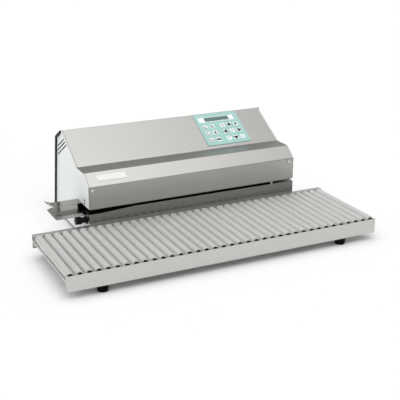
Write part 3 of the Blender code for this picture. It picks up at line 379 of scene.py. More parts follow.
def grained(name, base, stretch, low, high, rough, rough_spread, bump, metallic=1.0):
    """A surface with a fine grain: noise stretched along one axis drives colour, roughness and bump.

    stretch gives the features per metre along X, Y and Z.
    """
    material, tree, shader, place = start_material(name, Metallic=metallic)
    spread = add_node(tree, "ShaderNodeMapping", {"Scale": stretch}, {"Vector": place})
    grain = add_node(tree, "ShaderNodeTexNoise", {"Scale": 1.0, "Detail": 3.0, "Roughness": 0.6},
                     {"Vector": spread.outputs[0]})
    cloud = add_node(tree, "ShaderNodeTexNoise", {"Scale": 9.0, "Detail": 2.0}, {"Vector": place})
    both = add_node(tree, "ShaderNodeMath", {"operation": "MULTIPLY_ADD", 1: 0.65},
                    {0: grain.outputs["Fac"]})
    share = add_node(tree, "ShaderNodeMath", {"operation": "MULTIPLY", 1: 0.35}, {0: cloud.outputs["Fac"]})
    tree.links.new(share.outputs[0], both.inputs[2])
    ramp = add_node(tree, "ShaderNodeValToRGB", {"stops": tints(base, low, high)}, {"Fac": both.outputs[0]})
    gloss = add_node(tree, "ShaderNodeMapRange", {
        "From Min": 0.3, "From Max": 0.7, "To Min": rough - rough_spread, "To Max": rough + rough_spread},
        {"Value": both.outputs[0]})
    height = add_node(tree, "ShaderNodeBump", {"Strength": bump, "Distance": 0.0002},
                      {"Height": grain.outputs["Fac"]})
    tree.links.new(ramp.outputs["Color"], shader.inputs["Base Color"])
    tree.links.new(gloss.outputs["Result"], shader.inputs["Roughness"])
    tree.links.new(height.outputs["Normal"], shader.inputs["Normal"])
    return material


def moulded(name, base, grain_mm, rough, bump, spread=0.06, sheen=0.5):
    """A painted, moulded or printed surface: an even, fine texture of the given size in millimetres.

    sheen is the specular level, where 0.5 is that of common plastic.
    """
    material, tree, shader, place = start_material(name, Specular_IOR_Level=sheen)
    skin = add_node(tree, "ShaderNodeTexNoise", {"Scale": 1000 / grain_mm, "Detail": 2.0}, {"Vector": place})
    cloud = add_node(tree, "ShaderNodeTexNoise", {"Scale": 14.0, "Detail": 3.0}, {"Vector": place})
    ramp = add_node(tree, "ShaderNodeValToRGB", {"stops": tints(base, 1 - spread, 1 + spread)},
                    {"Fac": cloud.outputs["Fac"]})
    gloss = add_node(tree, "ShaderNodeMapRange", {"From Min": 0.3, "From Max": 0.7, "To Min": rough - 0.05,
                                                  "To Max": rough + 0.05}, {"Value": skin.outputs["Fac"]})
    height = add_node(tree, "ShaderNodeBump", {"Strength": bump, "Distance": 0.0003},
                      {"Height": skin.outputs["Fac"]})
    tree.links.new(ramp.outputs["Color"], shader.inputs["Base Color"])
    tree.links.new(gloss.outputs["Result"], shader.inputs["Roughness"])
    tree.links.new(height.outputs["Normal"], shader.inputs["Normal"])
    return material


MATERIALS = {}


def make_materials(tone):
    """Every finish, made once and kept by name."""
    made = MATERIALS
    # Stainless sheet ground along the slot: long streaks of 1.5 mm pitch, drawn coarser than the real grit,
    # give the cover its soft lengthwise sheen.
    made["cover"] = grained("ground_stainless", list(tone.cover_steel), (7, 650, 650), 0.94, 1.05, 0.31, 0.04,
                            0.08)
    # Satin stainless of the folded rails: the same grit, brighter and more even.
    made["rail"] = grained("satin_stainless", list(tone.rail_steel), (9, 600, 600), 0.96, 1.03, 0.42, 0.04,
                           0.06)
    # Darker satin steel of the bar under the slot, smooth enough to show what stands before it.
    made["bar"] = grained("dark_satin_steel", list(tone.bar_steel), (8, 500, 500), 0.93, 1.05, 0.30, 0.05,
                          0.05)
    # Rolled and polished sheet: a clear reflection with faint lengthwise drag lines.
    made["bright"] = grained("polished_stainless", list(tone.bright_steel), (12, 400, 400), 0.95, 1.04, 0.14,
                             0.04, 0.03)
    # Satin anodised aluminium tube: fine rings round the tube from turning, a wide soft highlight.
    made["roller"] = grained("anodised_aluminium_tube", list(tone.roller_metal), (60, 700, 60), 0.95, 1.04,
                             0.46, 0.04, 0.04, 0.40)
    # Machined steel of the hidden frame, pulleys and base pan.
    made["mechanism"] = grained("machined_steel", linear("9EA0A1"), (60, 400, 400), 0.9, 1.08, 0.45, 0.06,
                                0.1)
    # Nickelled screw heads: bright, with almost no texture.
    made["screw"] = grained("nickelled_steel", linear("D8D6D2"), (300, 300, 300), 0.96, 1.03, 0.2, 0.04, 0.02)
    # Powder coat: fine orange peel of about 1.2 mm, satin.
    made["white"] = moulded("white_powder_coat", list(tone.white_paint), 1.2, 0.42, 0.06, 0.02)
    made["black"] = moulded("black_powder_coat", list(tone.black_paint), 0.9, 0.5, 0.15, 0.08, 0.25)
    # Moulded ABS with a spark-eroded grain of about 0.4 mm, drawn at 0.7 mm.
    made["plastic"] = moulded("moulded_black_abs", list(tone.black_plastic), 0.7, 0.42, 0.12, 0.1, 0.15)
    # Soft rubber: dull, with dust in its grain.
    made["rubber"] = moulded("moulded_rubber", list(tone.rubber), 1.0, 0.75, 0.2, 0.15, 0.1)
    # Polyester film printed from behind, with a fine matt lacquer.
    made["film"] = moulded("printed_polyester_film", list(tone.film), 0.8, 0.42, 0.04, 0.025)
    made["key"] = moulded("printed_white_key", list(tone.key_white), 0.8, 0.38, 0.03, 0.015)
    made["print"] = moulded("screen_print_dark", list(tone.key_print), 0.6, 0.5, 0.05, 0.06)
    made["red"] = moulded("screen_print_red", list(tone.key_red), 0.6, 0.5, 0.05, 0.06)
    # White enamel on aluminium, left bare.
    made["plate"] = moulded("white_enamel_plate", list(tone.plate_white), 1.5, 0.3, 0.03, 0.02)
    # White acetal, slightly waxy.
    made["acetal"] = moulded("white_acetal", linear("F1F0EA"), 1.0, 0.35, 0.05, 0.02)
    # Motor enamel and solder resist are seen only through the slot.
    made["motor"] = moulded("dark_motor_enamel", linear("3C3E40"), 1.0, 0.5, 0.1, 0.06)
    made["board"] = moulded("green_solder_resist", linear("2F6B3F"), 1.2, 0.45, 0.05, 0.08)
    made["display"] = display_glass(list(tone.display))
    made["belt"] = coated_cloth(linear("5A3A26"))
    made["floor"] = moulded("pale_floor", list(tone.floor), 4.0, 0.8, 0.0, 0.004, 0.0)


def display_glass(base):
    """Liquid crystal display: sixteen faint character cells in two rows under clear glass."""
    material, tree, shader, place = start_material("display_glass", Roughness=0.22)
    shader.inputs["Coat Weight"].default_value = 0.6
    shader.inputs["Coat Roughness"].default_value = 0.08
    corner = Vector(keypad_matrix() @ Vector((WINDOW[0], WINDOW[2], 0.0)))
    moved = add_node(tree, "ShaderNodeVectorMath", {"operation": "SUBTRACT", 1: corner}, {0: place})
    level = add_node(tree, "ShaderNodeMapping", {"Rotation": (-UPPER_SLOPE, 0.0, 0.0)},
                     {"Vector": moved.outputs[0]})
    cells = add_node(tree, "ShaderNodeTexBrick", {
        "offset": 0.0, "squash": 1.0, "Scale": 1.0, "Mortar Size": 0.00035, "Mortar Smooth": 0.2,
        "Brick Width": 0.0042, "Row Height": 0.00675,
        "Color1": [v * 0.86 for v in base[:3]] + [1.0], "Color2": [v * 1.06 for v in base[:3]] + [1.0],
        "Mortar": [v * 1.2 for v in base[:3]] + [1.0]}, {"Vector": level.outputs[0]})
    tree.links.new(cells.outputs["Color"], shader.inputs["Base Color"])
    return material


def coated_cloth(base):
    """Glass cloth with a brown release coat: a plain weave of 1.2 mm."""
    material, tree, shader, place = start_material("coated_glass_cloth", Roughness=0.5)
    weave = add_node(tree, "ShaderNodeTexChecker", {
        "Scale": 830.0, "Color1": [v * 0.8 for v in base[:3]] + [1.0],
        "Color2": [v * 1.15 for v in base[:3]] + [1.0]}, {"Vector": place})
    height = add_node(tree, "ShaderNodeBump", {"Strength": 0.2, "Distance": 0.0002},
                      {"Height": weave.outputs["Fac"]})
    tree.links.new(weave.outputs["Color"], shader.inputs["Base Color"])
    tree.links.new(height.outputs["Normal"], shader.inputs["Normal"])
    return material


def keypad_matrix():
    """The frame at the keypad's lower left corner: X along the slot, Y up the slope, Z out of it."""
    y = FACE_Y + BROW[0] + KEYPAD_RAISE * cos(UPPER_SLOPE)
    z = BROW[1] + KEYPAD_RAISE * sin(UPPER_SLOPE)
    return Matrix.Translation((LEFT_X + KEYPAD_LEFT, y, z)) @ Matrix.Rotation(UPPER_SLOPE, 4, "X")


def dress(node, key):
    """Give a CAD node that stays one of the finishes."""
    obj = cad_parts[node]
    obj.data.materials.clear()
    obj.data.materials.append(MATERIALS[key])


class SEALER_OT_stage(bpy.types.Operator):
    """Camera, floor and soft studio light"""

    bl_idname = "sealer.stage"
    bl_label = "Stage"

    def execute(self, context):
        scene = context.scene
        make_materials(scene.sealer_colours)
        level = cos(CAMERA_ELEVATION)
        back = Vector((sin(CAMERA_AZIMUTH) * level, -cos(CAMERA_AZIMUTH) * level, sin(CAMERA_ELEVATION)))
        right = (-back).cross(Vector((0.0, 0.0, 1.0))).normalized()
        up = right.cross(-back)
        across = right * cos(CAMERA_ROLL) + up * sin(CAMERA_ROLL)
        upright = up * cos(CAMERA_ROLL) - right * sin(CAMERA_ROLL)
        deselect()
        bpy.ops.object.camera_add()
        camera = context.object
        matrix = Matrix((across, upright, back)).transposed().to_4x4()
        matrix.translation = CAMERA_PLACE
        camera.matrix_world = matrix
        camera.data.sensor_width = CAMERA_SENSOR
        camera.data.lens = CAMERA_LENS
        scene.camera = camera

        deselect()
        bpy.ops.mesh.primitive_plane_add(size=FLOOR_SIZE)
        floor = context.object
        floor.name = "floor"
        floor.data.materials.append(MATERIALS["floor"])

        # One soft light overhead, a little to the left and the front, that falls off to a dimmer surround.
        world = scene.world or bpy.data.worlds.new("studio")
        scene.world = world
        world.use_nodes = True
        tree = world.node_tree
        tree.nodes.clear()
        direction = add_node(tree, "ShaderNodeTexCoord").outputs["Generated"]
        near = add_node(tree, "ShaderNodeVectorMath", {"operation": "DOT_PRODUCT", 1: LIGHT_TOWARDS},
                        {0: direction})
        fall = add_node(tree, "ShaderNodeMapRange", {
            "interpolation_type": "SMOOTHSTEP", "From Min": LIGHT_EDGE, "From Max": LIGHT_CORE,
            "To Min": LIGHT_SURROUND, "To Max": LIGHT_STRENGTH}, {"Value": near.outputs["Value"]})
        surround = add_node(tree, "ShaderNodeBackground", {"Color": (1.0, 1.0, 1.0, 1.0)},
                            {"Strength": fall.outputs["Result"]})
        add_node(tree, "ShaderNodeOutputWorld", None, {"Surface": surround.outputs[0]})
        scene.view_settings.view_transform = "Standard"
        return {"FINISHED"}


class SEALER_OT_table(bpy.types.Operator):
    """Folded rails of the roller table and its rubber feet"""

    bl_idname = "sealer.table"
    bl_label = "Table frame"

    def execute(self, context):
        sizes = context.scene.sealer_sizes
        rails = fine_copy("table_frame", sizes.edge_round)
        edit(rails)
        bpy.ops.mesh.select_all(action="SELECT")
        bpy.ops.mesh.bisect(plane_co=(0, 0, TABLE_FOOT_HEIGHT - 0.001), plane_no=(0, 0, 1), use_fill=True,
                            clear_inner=True)
        finish_piece(rails, "table_rails", MATERIALS["rail"], replaces=("table_frame",))
        for side, x in TABLE_FOOT_PLACES:
            foot = rubber_foot(x, TABLE_FRONT_Y + TABLE_FOOT_RADIUS + 0.0012)
            finish_piece(foot, f"table_foot_{side}", MATERIALS["rubber"])
        return {"FINISHED"}


def rubber_foot(x, y):
    """A round foot that narrows a little downwards, with a soft lower edge and a washer seat on top."""
    deselect()
    top = TABLE_FOOT_HEIGHT + 0.00005
    bpy.ops.mesh.primitive_cylinder_add(vertices=36, radius=TABLE_FOOT_RADIUS + 0.0001, depth=top,
                                        location=(x, y, top / 2))
    foot = bpy.context.object
    bpy.ops.object.transform_apply(location=True, rotation=True, scale=True)
    edit(foot)
    pick("faces", lambda m, d: d.z < -0.9)
    bpy.ops.transform.resize(value=(0.90, 0.90, 1.0), center_override=(x, y, 0.0))
    bpy.ops.mesh.bevel(offset=0.0022, segments=4)
    pick("faces", lambda m, d: d.z < -0.995 and m.z < 0.001)
    bpy.ops.mesh.inset(thickness=0.0045)
    bpy.ops.mesh.extrude_region_move(TRANSFORM_OT_translate={"value": (0.0, 0.0, 0.003)})
    bpy.ops.object.mode_set(mode="OBJECT")
    return foot


class SEALER_OT_rollers(bpy.types.Operator):
    """The free rollers: a tube with a recessed end cap and a journal at each end"""

    bl_idname = "sealer.rollers"
    bl_label = "Rollers"

    def execute(self, context):
        sizes = context.scene.sealer_sizes
        low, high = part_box(ROLLERS[0])
        middle = (low + high) / 2
        radius = (high.z - low.z) / 2
        half = (high.y - low.y) / 2 - JOURNAL_LENGTH
        wall = sizes.roller_edge + sizes.roller_rim
        deselect()
        bpy.ops.mesh.primitive_cylinder_add(vertices=32, radius=radius, depth=2 * half, location=middle,
                                            rotation=(pi / 2, 0.0, 0.0))
        first = context.object
        bpy.ops.object.transform_apply(location=True, rotation=True, scale=True)
        edit(first)
        for side in (-1, 1):
            end = middle.y + side * half
            pick("faces", lambda m, d: d.y * side > 0.9 and abs(m.y - end) < 0.0001)
            bpy.ops.mesh.bevel(offset=sizes.roller_edge, segments=2)
            pick("faces", lambda m, d: d.y * side > 0.95 and abs(m.y - end) < 0.0001)
            for inset, step in ((sizes.roller_rim, -sizes.roller_recess),
                                (radius - wall - JOURNAL_RADIUS, sizes.roller_recess + JOURNAL_LENGTH)):
                bpy.ops.mesh.inset(thickness=inset)
                bpy.ops.mesh.extrude_region_move(TRANSFORM_OT_translate={"value": (0.0, side * step, 0.0)})
            bpy.ops.mesh.bevel(offset=sizes.roller_edge, segments=2)
        bpy.ops.object.mode_set(mode="OBJECT")
        first.data.materials.append(MATERIALS["roller"])
        first.data.materials.append(MATERIALS["plastic"])
        # The end caps sunk into the tube are black plastic. Their black is also painted shade: it stands in
        # for the shade in the gap between each roller's end and the rail's flange.
        for face in first.data.polygons:
            off_axis = ((face.center.x - middle.x) ** 2 + (face.center.z - middle.z) ** 2) ** 0.5
            beyond = abs(face.center.y - middle.y) - half + sizes.roller_recess
            face.material_index = 1 if beyond > -0.0001 and off_axis < radius - wall - 0.0001 else 0
        for node in ROLLERS:
            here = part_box(node)
            shift = (here[0].x + here[1].x) / 2 - middle.x
            deselect()
            roller = bpy.data.objects.new(f"{node}_tube", first.data.copy())
            context.scene.collection.objects.link(roller)
            roller.data.transform(Matrix.Translation((shift, 0.0, 0.0)))
            finish_piece(roller, f"{node}_tube", None, node, (node,))
        bpy.data.objects.remove(first)
        return {"FINISHED"}


class SEALER_OT_housing(bpy.types.Operator):
    """Cover, side panels, rear cover, base pan and the bar under the slot"""

    bl_idname = "sealer.housing"
    bl_label = "Housing"

    def execute(self, context):
        sizes = context.scene.sealer_sizes
        for node, name, key, slot in (("top_cover", "cover_sheet", "cover", "bent_steel"),
                                      ("left_side_panel", "left_panel_sheet", "white", "white_paint"),
                                      ("right_side_panel", "right_panel_sheet", "white", "white_paint"),
                                      ("rear_cover", "rear_cover_sheet", "black", "black_paint")):
            piece = fine_copy(node, sizes.edge_round)
            if key == "white":
                # The panels are painted white on their broad sides only: the rim shows the bare sheet. Its
                # darker steel is partly painted shade, standing in for the shade along the panels' edges.
                piece.data.materials.clear()
                piece.data.materials.append(MATERIALS["white"])
                piece.data.materials.append(MATERIALS["cover"])
                for face in piece.data.polygons:
                    face.material_index = 0 if abs(face.normal.x) > 0.9 else 1
            finish_piece(piece, name, None if key == "white" else MATERIALS[key], replaces=(node,))
        bar = fine_copy("lower_bar", sizes.bar_round)
        finish_piece(bar, "slot_bar", MATERIALS["bar"], replaces=("lower_bar",))
        pan = fine_copy("base_tray", sizes.edge_round)
        pan.data.materials.clear()
        pan.data.materials.append(MATERIALS["mechanism"])
        pan.data.materials.append(MATERIALS["rubber"])
        for face in pan.data.polygons:
            face.material_index = 1 if face.center.z < BASE_FOOT_HEIGHT - 0.0002 else 0
        finish_piece(pan, "base_pan", None, replaces=("base_tray",))
        return {"FINISHED"}


class SEALER_OT_infeed(bpy.types.Operator):
    """In-feed sheets and the fluted clamp knob"""

    bl_idname = "sealer.infeed"
    bl_label = "In-feed and knob"

    def execute(self, context):
        sizes = context.scene.sealer_sizes
        for node in ("infeed_tray", "infeed_guide"):
            piece = fine_copy(node, sizes.edge_round * 0.7)
            finish_piece(piece, f"{node}_sheet", MATERIALS["bright"], replaces=(node,))
        knob = fine_copy("margin_knob", sizes.edge_round)
        finish_piece(knob, "margin_knob_grip", MATERIALS["plastic"], "margin_knob", ("margin_knob",))
        return {"FINISHED"}


class SEALER_OT_keypad(bpy.types.Operator):
    """Keypad film with its white key fields, printed marks and display"""

    bl_idname = "sealer.keypad"
    bl_label = "Keypad"

    def execute(self, context):
        sizes = context.scene.sealer_sizes
        film = fine_copy("keypad_membrane", 0.00015)
        inverse = keypad_matrix().inverted()
        film.data.materials.clear()
        film.data.materials.append(MATERIALS["film"])
        film.data.materials.append(MATERIALS["key"])
        for face in film.data.polygons:
            face.material_index = 1 if (inverse @ face.center).z > FILM_TOP + 0.0001 else 0
        finish_piece(film, "keypad_film", None, replaces=("keypad_membrane",))

        glass = fine_copy("display_module", 0.0002)
        finish_piece(glass, "display_glass", MATERIALS["display"], replaces=("display_module",))

        bezel = frame_plate(BEZEL, WINDOW, FILM_TOP, FILM_TOP + sizes.print_thickness)
        place_mesh(bezel, keypad_matrix())
        finish_piece(bezel, "display_surround", MATERIALS["key"])

        dark, red = key_marks(sizes)
        for marks, name, key in ((dark, "key_marks_dark", "print"), (red, "key_marks_red", "red")):
            whole = join(marks)
            place_mesh(whole, keypad_matrix())
            finish_piece(whole, name, MATERIALS[key])
        return {"FINISHED"}


def frame_plate(outer, inner, low, high):
    """A thin frame between two rectangles, each given as left, right, low and high."""
    deselect()
    middle = ((outer[0] + outer[1]) / 2, (outer[2] + outer[3]) / 2, high)
    bpy.ops.mesh.primitive_plane_add(size=1, location=middle)
    obj = bpy.context.object
    obj.scale = (outer[1] - outer[0], outer[3] - outer[2], 1.0)
    bpy.ops.object.transform_apply(location=True, rotation=True, scale=True)
    edit(obj)
    for value, normal in zip(inner, ((1, 0, 0), (1, 0, 0), (0, 1, 0), (0, 1, 0))):
        bpy.ops.mesh.select_all(action="SELECT")
        bpy.ops.mesh.bisect(plane_co=(value * normal[0], value * normal[1], high), plane_no=normal)
    pick("faces", lambda m, d: inner[0] < m.x < inner[1] and inner[2] < m.y < inner[3])
    bpy.ops.mesh.delete(type="FACE")
    bpy.ops.mesh.select_all(action="SELECT")
    bpy.ops.mesh.extrude_region_move(TRANSFORM_OT_translate={"value": (0.0, 0.0, low - high)})
    bpy.ops.object.mode_set(mode="OBJECT")
    return obj


def prism(sides, radius, middle, turn, low, high, stretch=(1.0, 1.0)):
    """A flat printed mark with the given number of sides."""
    deselect()
    bpy.ops.mesh.primitive_cylinder_add(vertices=sides, radius=radius, depth=high - low,
                                        location=(middle[0], middle[1], (low + high) / 2),
                                        rotation=(0.0, 0.0, turn))
    obj = bpy.context.object
    obj.scale = (stretch[0], stretch[1], 1.0)
    bpy.ops.object.transform_apply(location=True, rotation=True, scale=True)
    edit(obj)
    pick("faces", lambda m, d: d.z > 0.9)
    bpy.ops.mesh.bevel(offset=(high - low) * 0.4, segments=1)
    bpy.ops.object.mode_set(mode="OBJECT")
    return obj


def key_marks(sizes):
    """The arrows and small signs on the keys: a list of dark marks and a list of red ones."""
    low = KEY_TOP - 0.00002
    high = KEY_TOP + sizes.print_thickness
    half = sizes.mark_size / 2
    thin = half * 0.4
    columns, rows = KEY_COLUMNS, KEY_ROWS
    arrow = sizes.arrow_side / 3 ** 0.5

    def bar(middle, across, up, turn=0.0):
        deselect()
        bpy.ops.mesh.primitive_cube_add(size=1, location=(middle[0], middle[1], (low + high) / 2),
                                        rotation=(0.0, 0.0, turn))
        obj = bpy.context.object
        obj.scale = (across, up, high - low)
        bpy.ops.object.transform_apply(location=True, rotation=True, scale=True)
        edit(obj)
        pick("edges", lambda m, d: abs(d.z) > 0.9)
        bpy.ops.mesh.bevel(offset=min(across, up) * 0.25, segments=2)
        bpy.ops.object.mode_set(mode="OBJECT")
        return obj

    dark = [prism(3, arrow, (columns[3], rows[2]), 0.0, low, high),
            prism(3, arrow, (columns[3], rows[0]), pi, low, high),
            prism(3, arrow, (columns[2], rows[1]), pi / 2, low, high),
            prism(3, arrow, (columns[4], rows[1]), -pi / 2, low, high)]
    x, y = columns[0], rows[2]
    dark += [bar((x - half, y), thin, 2 * half), bar((x, y - half), 2 * half, thin),
             bar((x + half * 0.4, y + half * 0.3), thin, 1.4 * half, -0.6)]
    x, y = columns[1], rows[2]
    dark += [bar((x - half * 0.4, y), 2.2 * thin, 2 * half),
             bar((x + half * 0.3, y - half * 0.7), 1.4 * half, 1.6 * thin)]
    x, y = columns[2], rows[2]
    dark += [bar((x, y), 2 * half, thin * 0.8, pi / 4), bar((x, y), 2 * half, thin * 0.8, -pi / 4)]
    x, y = columns[4], rows[2]
    dark += [prism(3, half * 1.3, (x, y + half * 0.2), pi, low, high),
             bar((x - half * 0.6, y - half * 0.3), thin, 2 * half)]
    x, y = columns[1], rows[1]
    dark += [prism(20, half * 0.9, (x, y + half * 0.2), 0.0, low, high, (1.0, 0.8)),
             bar((x, y - half), 1.6 * half, thin)]
    x, y = columns[3], rows[1]
    dark += [bar((x - half * 0.45, y), 1.3 * half, thin, 0.7),
             bar((x + half * 0.45, y), 1.3 * half, thin, -0.7)]
    x, y = columns[1], rows[0]
    dark += [bar((x, y), 3.0 * half, 3.4 * thin)]
    x, y = columns[2], rows[0]
    dark += [bar((x - half * 0.4, y), thin * 0.8, 1.8 * half),
             bar((x + half * 0.1, y + half * 0.9), half, thin * 0.8)]
    x, y = columns[4], rows[0]
    dark += [prism(16, half * 0.45, (x, y), 0.0, low, high)]

    red = []
    for row in (0, 1):
        x, y = columns[0], rows[row]
        red += [bar((x - half, y), thin, 2 * half), bar((x + half, y), thin, 2 * half),
                bar((x, y - half), 2 * half, thin), bar((x, y + half * (0.2 + 0.8 * row)), half, thin)]
    return dark, red


class SEALER_OT_fittings(bpy.types.Operator):
    """Bare plate on the lower slope, the front and side screws, and the slot's spool"""

    bl_idname = "sealer.fittings"
    bl_label = "Plate and screws"

    def execute(self, context):
        sizes = context.scene.sealer_sizes
        slope = Matrix.Translation((LEFT_X, FACE_Y, FACE_TOP[1])) @ Matrix.Rotation(LOWER_SLOPE, 4, "X")
        bare = plate(sizes.plate_width, sizes.plate_height, 0.00002, sizes.plate_thickness, PLATE_ROUNDING,
                     (PLATE_CORNER[0] + sizes.plate_width / 2, PLATE_CORNER[1] + sizes.plate_height / 2))
        edit(bare)
        pick("faces", lambda m, d: d.z > 0.95)
        bpy.ops.mesh.inset(thickness=PLATE_RIM)
        bpy.ops.mesh.extrude_region_move(TRANSFORM_OT_translate={"value": (0.0, 0.0, -PLATE_SINK)})
        bpy.ops.object.mode_set(mode="OBJECT")
        place_mesh(bare, slope)
        finish_piece(bare, "bare_plate", MATERIALS["plate"])

        width = RIGHT_X - LEFT_X
        for x, name in ((FACE_SCREW_LEFT, "face_screw_left"),
                        (width - FACE_SCREW_RIGHT_INSET, "face_screw_right")):
            screw = dome_screw(sizes.screw_diameter / 2, sizes.screw_rise)
            place = Matrix.Translation((LEFT_X + x, FACE_Y, FACE_SCREW_Z))
            place_mesh(screw, place @ Matrix.Rotation(pi / 2, 4, "X"))
            finish_piece(screw, name, MATERIALS["screw"])
        for side, x, turn in (("left", LEFT_X, -pi / 2), ("right", RIGHT_X, pi / 2)):
            for row, z in PANEL_SCREW_ROWS:
                screw = dome_screw(sizes.dot_diameter / 2, sizes.dot_diameter * 0.3)
                place = Matrix.Translation((x, FACE_Y + PANEL_SCREW_DEPTH, z))
                place_mesh(screw, place @ Matrix.Rotation(turn, 4, "Y"))
                finish_piece(screw, f"panel_screw_{side}_{row}", MATERIALS["plastic"])
        spool = slot_spool(LEFT_X + SPOOL_PLACE[0], FACE_Y + SPOOL_PLACE[1])
        finish_piece(spool, "slot_spool", MATERIALS["acetal"])
        return {"FINISHED"}


def dome_screw(radius, rise):
    """A domed screw head with a hexagon recess, its seat at z = 0."""
    deselect()
    bpy.ops.mesh.primitive_cylinder_add(vertices=24, radius=radius, depth=rise, location=(0.0, 0.0, rise / 2))
    screw = bpy.context.object
    bpy.ops.object.transform_apply(location=True, rotation=True, scale=True)
    edit(screw)
    pick("faces", lambda m, d: d.z > 0.9)
    bpy.ops.mesh.bevel(offset=min(rise * 0.85, radius * 0.5), segments=5)
    bpy.ops.object.mode_set(mode="OBJECT")
    bpy.ops.mesh.primitive_cylinder_add(vertices=6, radius=radius * 0.42, depth=rise,
                                        location=(0.0, 0.0, rise))
    cutter = bpy.context.object
    bpy.ops.object.transform_apply(location=True, rotation=True, scale=True)
    add_modifier(screw, "BOOLEAN", operation="DIFFERENCE", object=cutter, solver="EXACT")
    bpy.data.objects.remove(cutter)
    return screw


def slot_spool(x, y):
    """A white guide spool between the bar and the cover's lip, waisted in its middle."""
    deselect()
    low, high = BAR_TOP_Z + 0.00005, SLOT_CEILING_Z - 0.00005
    rim = (high - low) * 0.2
    bpy.ops.mesh.primitive_circle_add(vertices=28, radius=SPOOL_RADIUS, fill_type="NGON",
                                      location=(x, y, low))
    spool = bpy.context.object
    bpy.ops.object.transform_apply(location=True, rotation=True, scale=True)
    edit(spool)
    bpy.ops.mesh.select_all(action="SELECT")
    for rise, share in ((rim, 1.0), (rim / 2, SPOOL_WAIST), (high - low - 3 * rim, 1.0),
                        (rim / 2, 1 / SPOOL_WAIST), (rim, 1.0)):
        bpy.ops.mesh.extrude_region_move(TRANSFORM_OT_translate={"value": (0.0, 0.0, rise)})
        bpy.ops.transform.resize(value=(share, share, 1.0), center_override=(x, y, low))
    bpy.ops.object.mode_set(mode="OBJECT")
    return spool


def inlet_matrix():
    """The frame on the rear wall at the inlet's middle: Y up the wall, Z out of it."""
    y = FACE_Y + REAR_BASE[0] - INLET_RISE * tan(REAR_LEAN)
    turn = Matrix(((-1, 0, 0, 0), (0, 0, 1, 0), (0, 1, 0, 0), (0, 0, 0, 1)))
    middle = (RIGHT_X - INLET_RIGHT_INSET, y, REAR_BASE[1] + INLET_RISE)
    return Matrix.Translation(middle) @ Matrix.Rotation(REAR_LEAN, 4, "X") @ turn


def contact_pin(x, y, length_out):
    """A flat mains pin with a tapered, rounded tip."""
    deselect()
    bpy.ops.mesh.primitive_cube_add(size=1, location=(x, y, SOCKET_FLOOR + length_out / 2),
                                    scale=(PIN_WIDTH, PIN_HEIGHT, length_out + PIN_ROOT))
    pin = bpy.context.object
    bpy.ops.object.transform_apply(location=True, rotation=True, scale=True)
    edit(pin)
    pick("faces", lambda m, d: d.z > 0.9)
    bpy.ops.mesh.bevel(offset=0.0006, segments=3)
    bpy.ops.object.mode_set(mode="OBJECT")
    return pin


def rocker_marks(rocker_frame):
    """The I and the O on the rocker's two faces."""
    reach, rise, slope = ROCKER_FACE
    made = []
    for side in (1, -1):
        deselect()
        if side > 0:
            bpy.ops.mesh.primitive_cube_add(size=1, scale=(0.0008, 0.0046, MARK_THICKNESS))
        else:
            bpy.ops.mesh.primitive_cylinder_add(vertices=32, radius=0.0025, depth=MARK_THICKNESS)
        mark = bpy.context.object
        bpy.ops.object.transform_apply(location=True, rotation=True, scale=True)
        edit(mark)
        if side < 0:
            pick("faces", lambda m, d: abs(d.z) > 0.9)
            bpy.ops.mesh.inset(thickness=0.0007)
            bpy.ops.mesh.bridge_edge_loops()
        else:
            pick("edges", lambda m, d: abs(d.z) > 0.9)
            bpy.ops.mesh.bevel(offset=0.0002, segments=2)
        bpy.ops.object.mode_set(mode="OBJECT")
        there = Matrix.Translation((0.0, side * reach, rise)) @ Matrix.Rotation(side * slope, 4, "X")
        made.append(place_mesh(mark, rocker_frame @ there))
    return join(made)


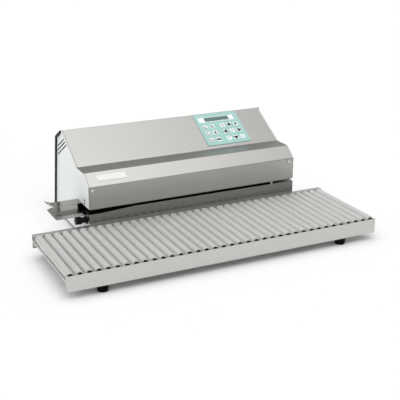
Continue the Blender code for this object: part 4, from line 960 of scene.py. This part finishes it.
class SEALER_OT_rear(bpy.types.Operator):
    """Mains inlet with its pins, the rocker and the rear cover's screws"""

    bl_idname = "sealer.rear"
    bl_label = "Rear fittings"

    def execute(self, context):
        sizes = context.scene.sealer_sizes
        inlet = fine_copy("power_inlet", sizes.edge_round)
        finish_piece(inlet, "mains_inlet", MATERIALS["plastic"], replaces=("power_inlet",))
        wall = inlet_matrix()
        pins = [contact_pin(0.0, SOCKET_MIDDLE + PIN_RISE, EARTH_PIN_LENGTH)]
        for x in (-PIN_SPACING, PIN_SPACING):
            pins.append(contact_pin(x, SOCKET_MIDDLE - PIN_RISE, PIN_LENGTH))
        finish_piece(place_mesh(join(pins), wall), "inlet_pins", MATERIALS["screw"])

        rocker = fine_copy("power_rocker", 0.0006, 3)
        finish_piece(rocker, "rocker_cap", MATERIALS["plastic"], "power_rocker", ("power_rocker",))
        pivot = Matrix.Translation((0.0, *ROCKER_PIVOT)) @ Matrix.Rotation(ROCKER_TILT, 4, "X")
        finish_piece(rocker_marks(wall @ pivot), "rocker_marks", MATERIALS["key"], "power_rocker")

        width = RIGHT_X - LEFT_X
        columns = (REAR_SCREW_INSET - width + INLET_RIGHT_INSET, INLET_RIGHT_INSET - width / 2,
                   INLET_RIGHT_INSET - REAR_SCREW_INSET)
        for row, up in REAR_SCREW_ROWS:
            for column, x in enumerate(columns, start=1):
                screw = dome_screw(REAR_SCREW_RADIUS, REAR_SCREW_RISE)
                place_mesh(screw, wall @ Matrix.Translation((-x, up, 0.0)))
                finish_piece(screw, f"rear_screw_{row}_{column}", MATERIALS["screw"])
        return {"FINISHED"}


class SEALER_OT_mechanism(bpy.types.Operator):
    """Finishes of the parts inside the housing"""

    bl_idname = "sealer.mechanism"
    bl_label = "Mechanism"

    def execute(self, context):
        for node, key in (("mechanism_frame", "mechanism"), ("drive_motor", "motor"),
                          ("control_board", "board"), ("upper_belt", "belt"), ("lower_belt", "belt"),
                          ("lower_drive_pulley", "mechanism"), ("upper_drive_pulley", "mechanism"),
                          ("upper_idler_pulley", "mechanism"), ("lower_idler_pulley", "mechanism")):
            dress(node, key)
        return {"FINISHED"}


STEPS = (SEALER_OT_stage, SEALER_OT_table, SEALER_OT_rollers, SEALER_OT_housing, SEALER_OT_infeed,
         SEALER_OT_keypad, SEALER_OT_fittings, SEALER_OT_rear, SEALER_OT_mechanism)


class SEALER_PT_panel(bpy.types.Panel):
    """The steps and the values they use"""

    bl_idname = "SEALER_PT_panel"
    bl_label = "Rotary heat sealer"
    bl_space_type = "VIEW_3D"
    bl_region_type = "UI"
    bl_category = "Sealer"

    def draw(self, context):
        for step in STEPS:
            self.layout.operator(step.bl_idname)
        for group in (context.scene.sealer_sizes, context.scene.sealer_colours):
            box = self.layout.box()
            for key in group.__annotations__:
                box.prop(group, key)


CLASSES = (SealerSizes, SealerColours) + STEPS + (SEALER_PT_panel,)


def register():
    for made in CLASSES:
        bpy.utils.register_class(made)
    bpy.types.Scene.sealer_sizes = PointerProperty(type=SealerSizes)
    bpy.types.Scene.sealer_colours = PointerProperty(type=SealerColours)


def unregister():
    del bpy.types.Scene.sealer_colours
    del bpy.types.Scene.sealer_sizes
    for made in reversed(CLASSES):
        bpy.utils.unregister_class(made)


def main():
    register()
    for step in STEPS:
        group, name = step.bl_idname.split(".")
        getattr(getattr(bpy.ops, group), name)()
    bpy.context.view_layer.update()


if __name__ == "__main__":
    main()
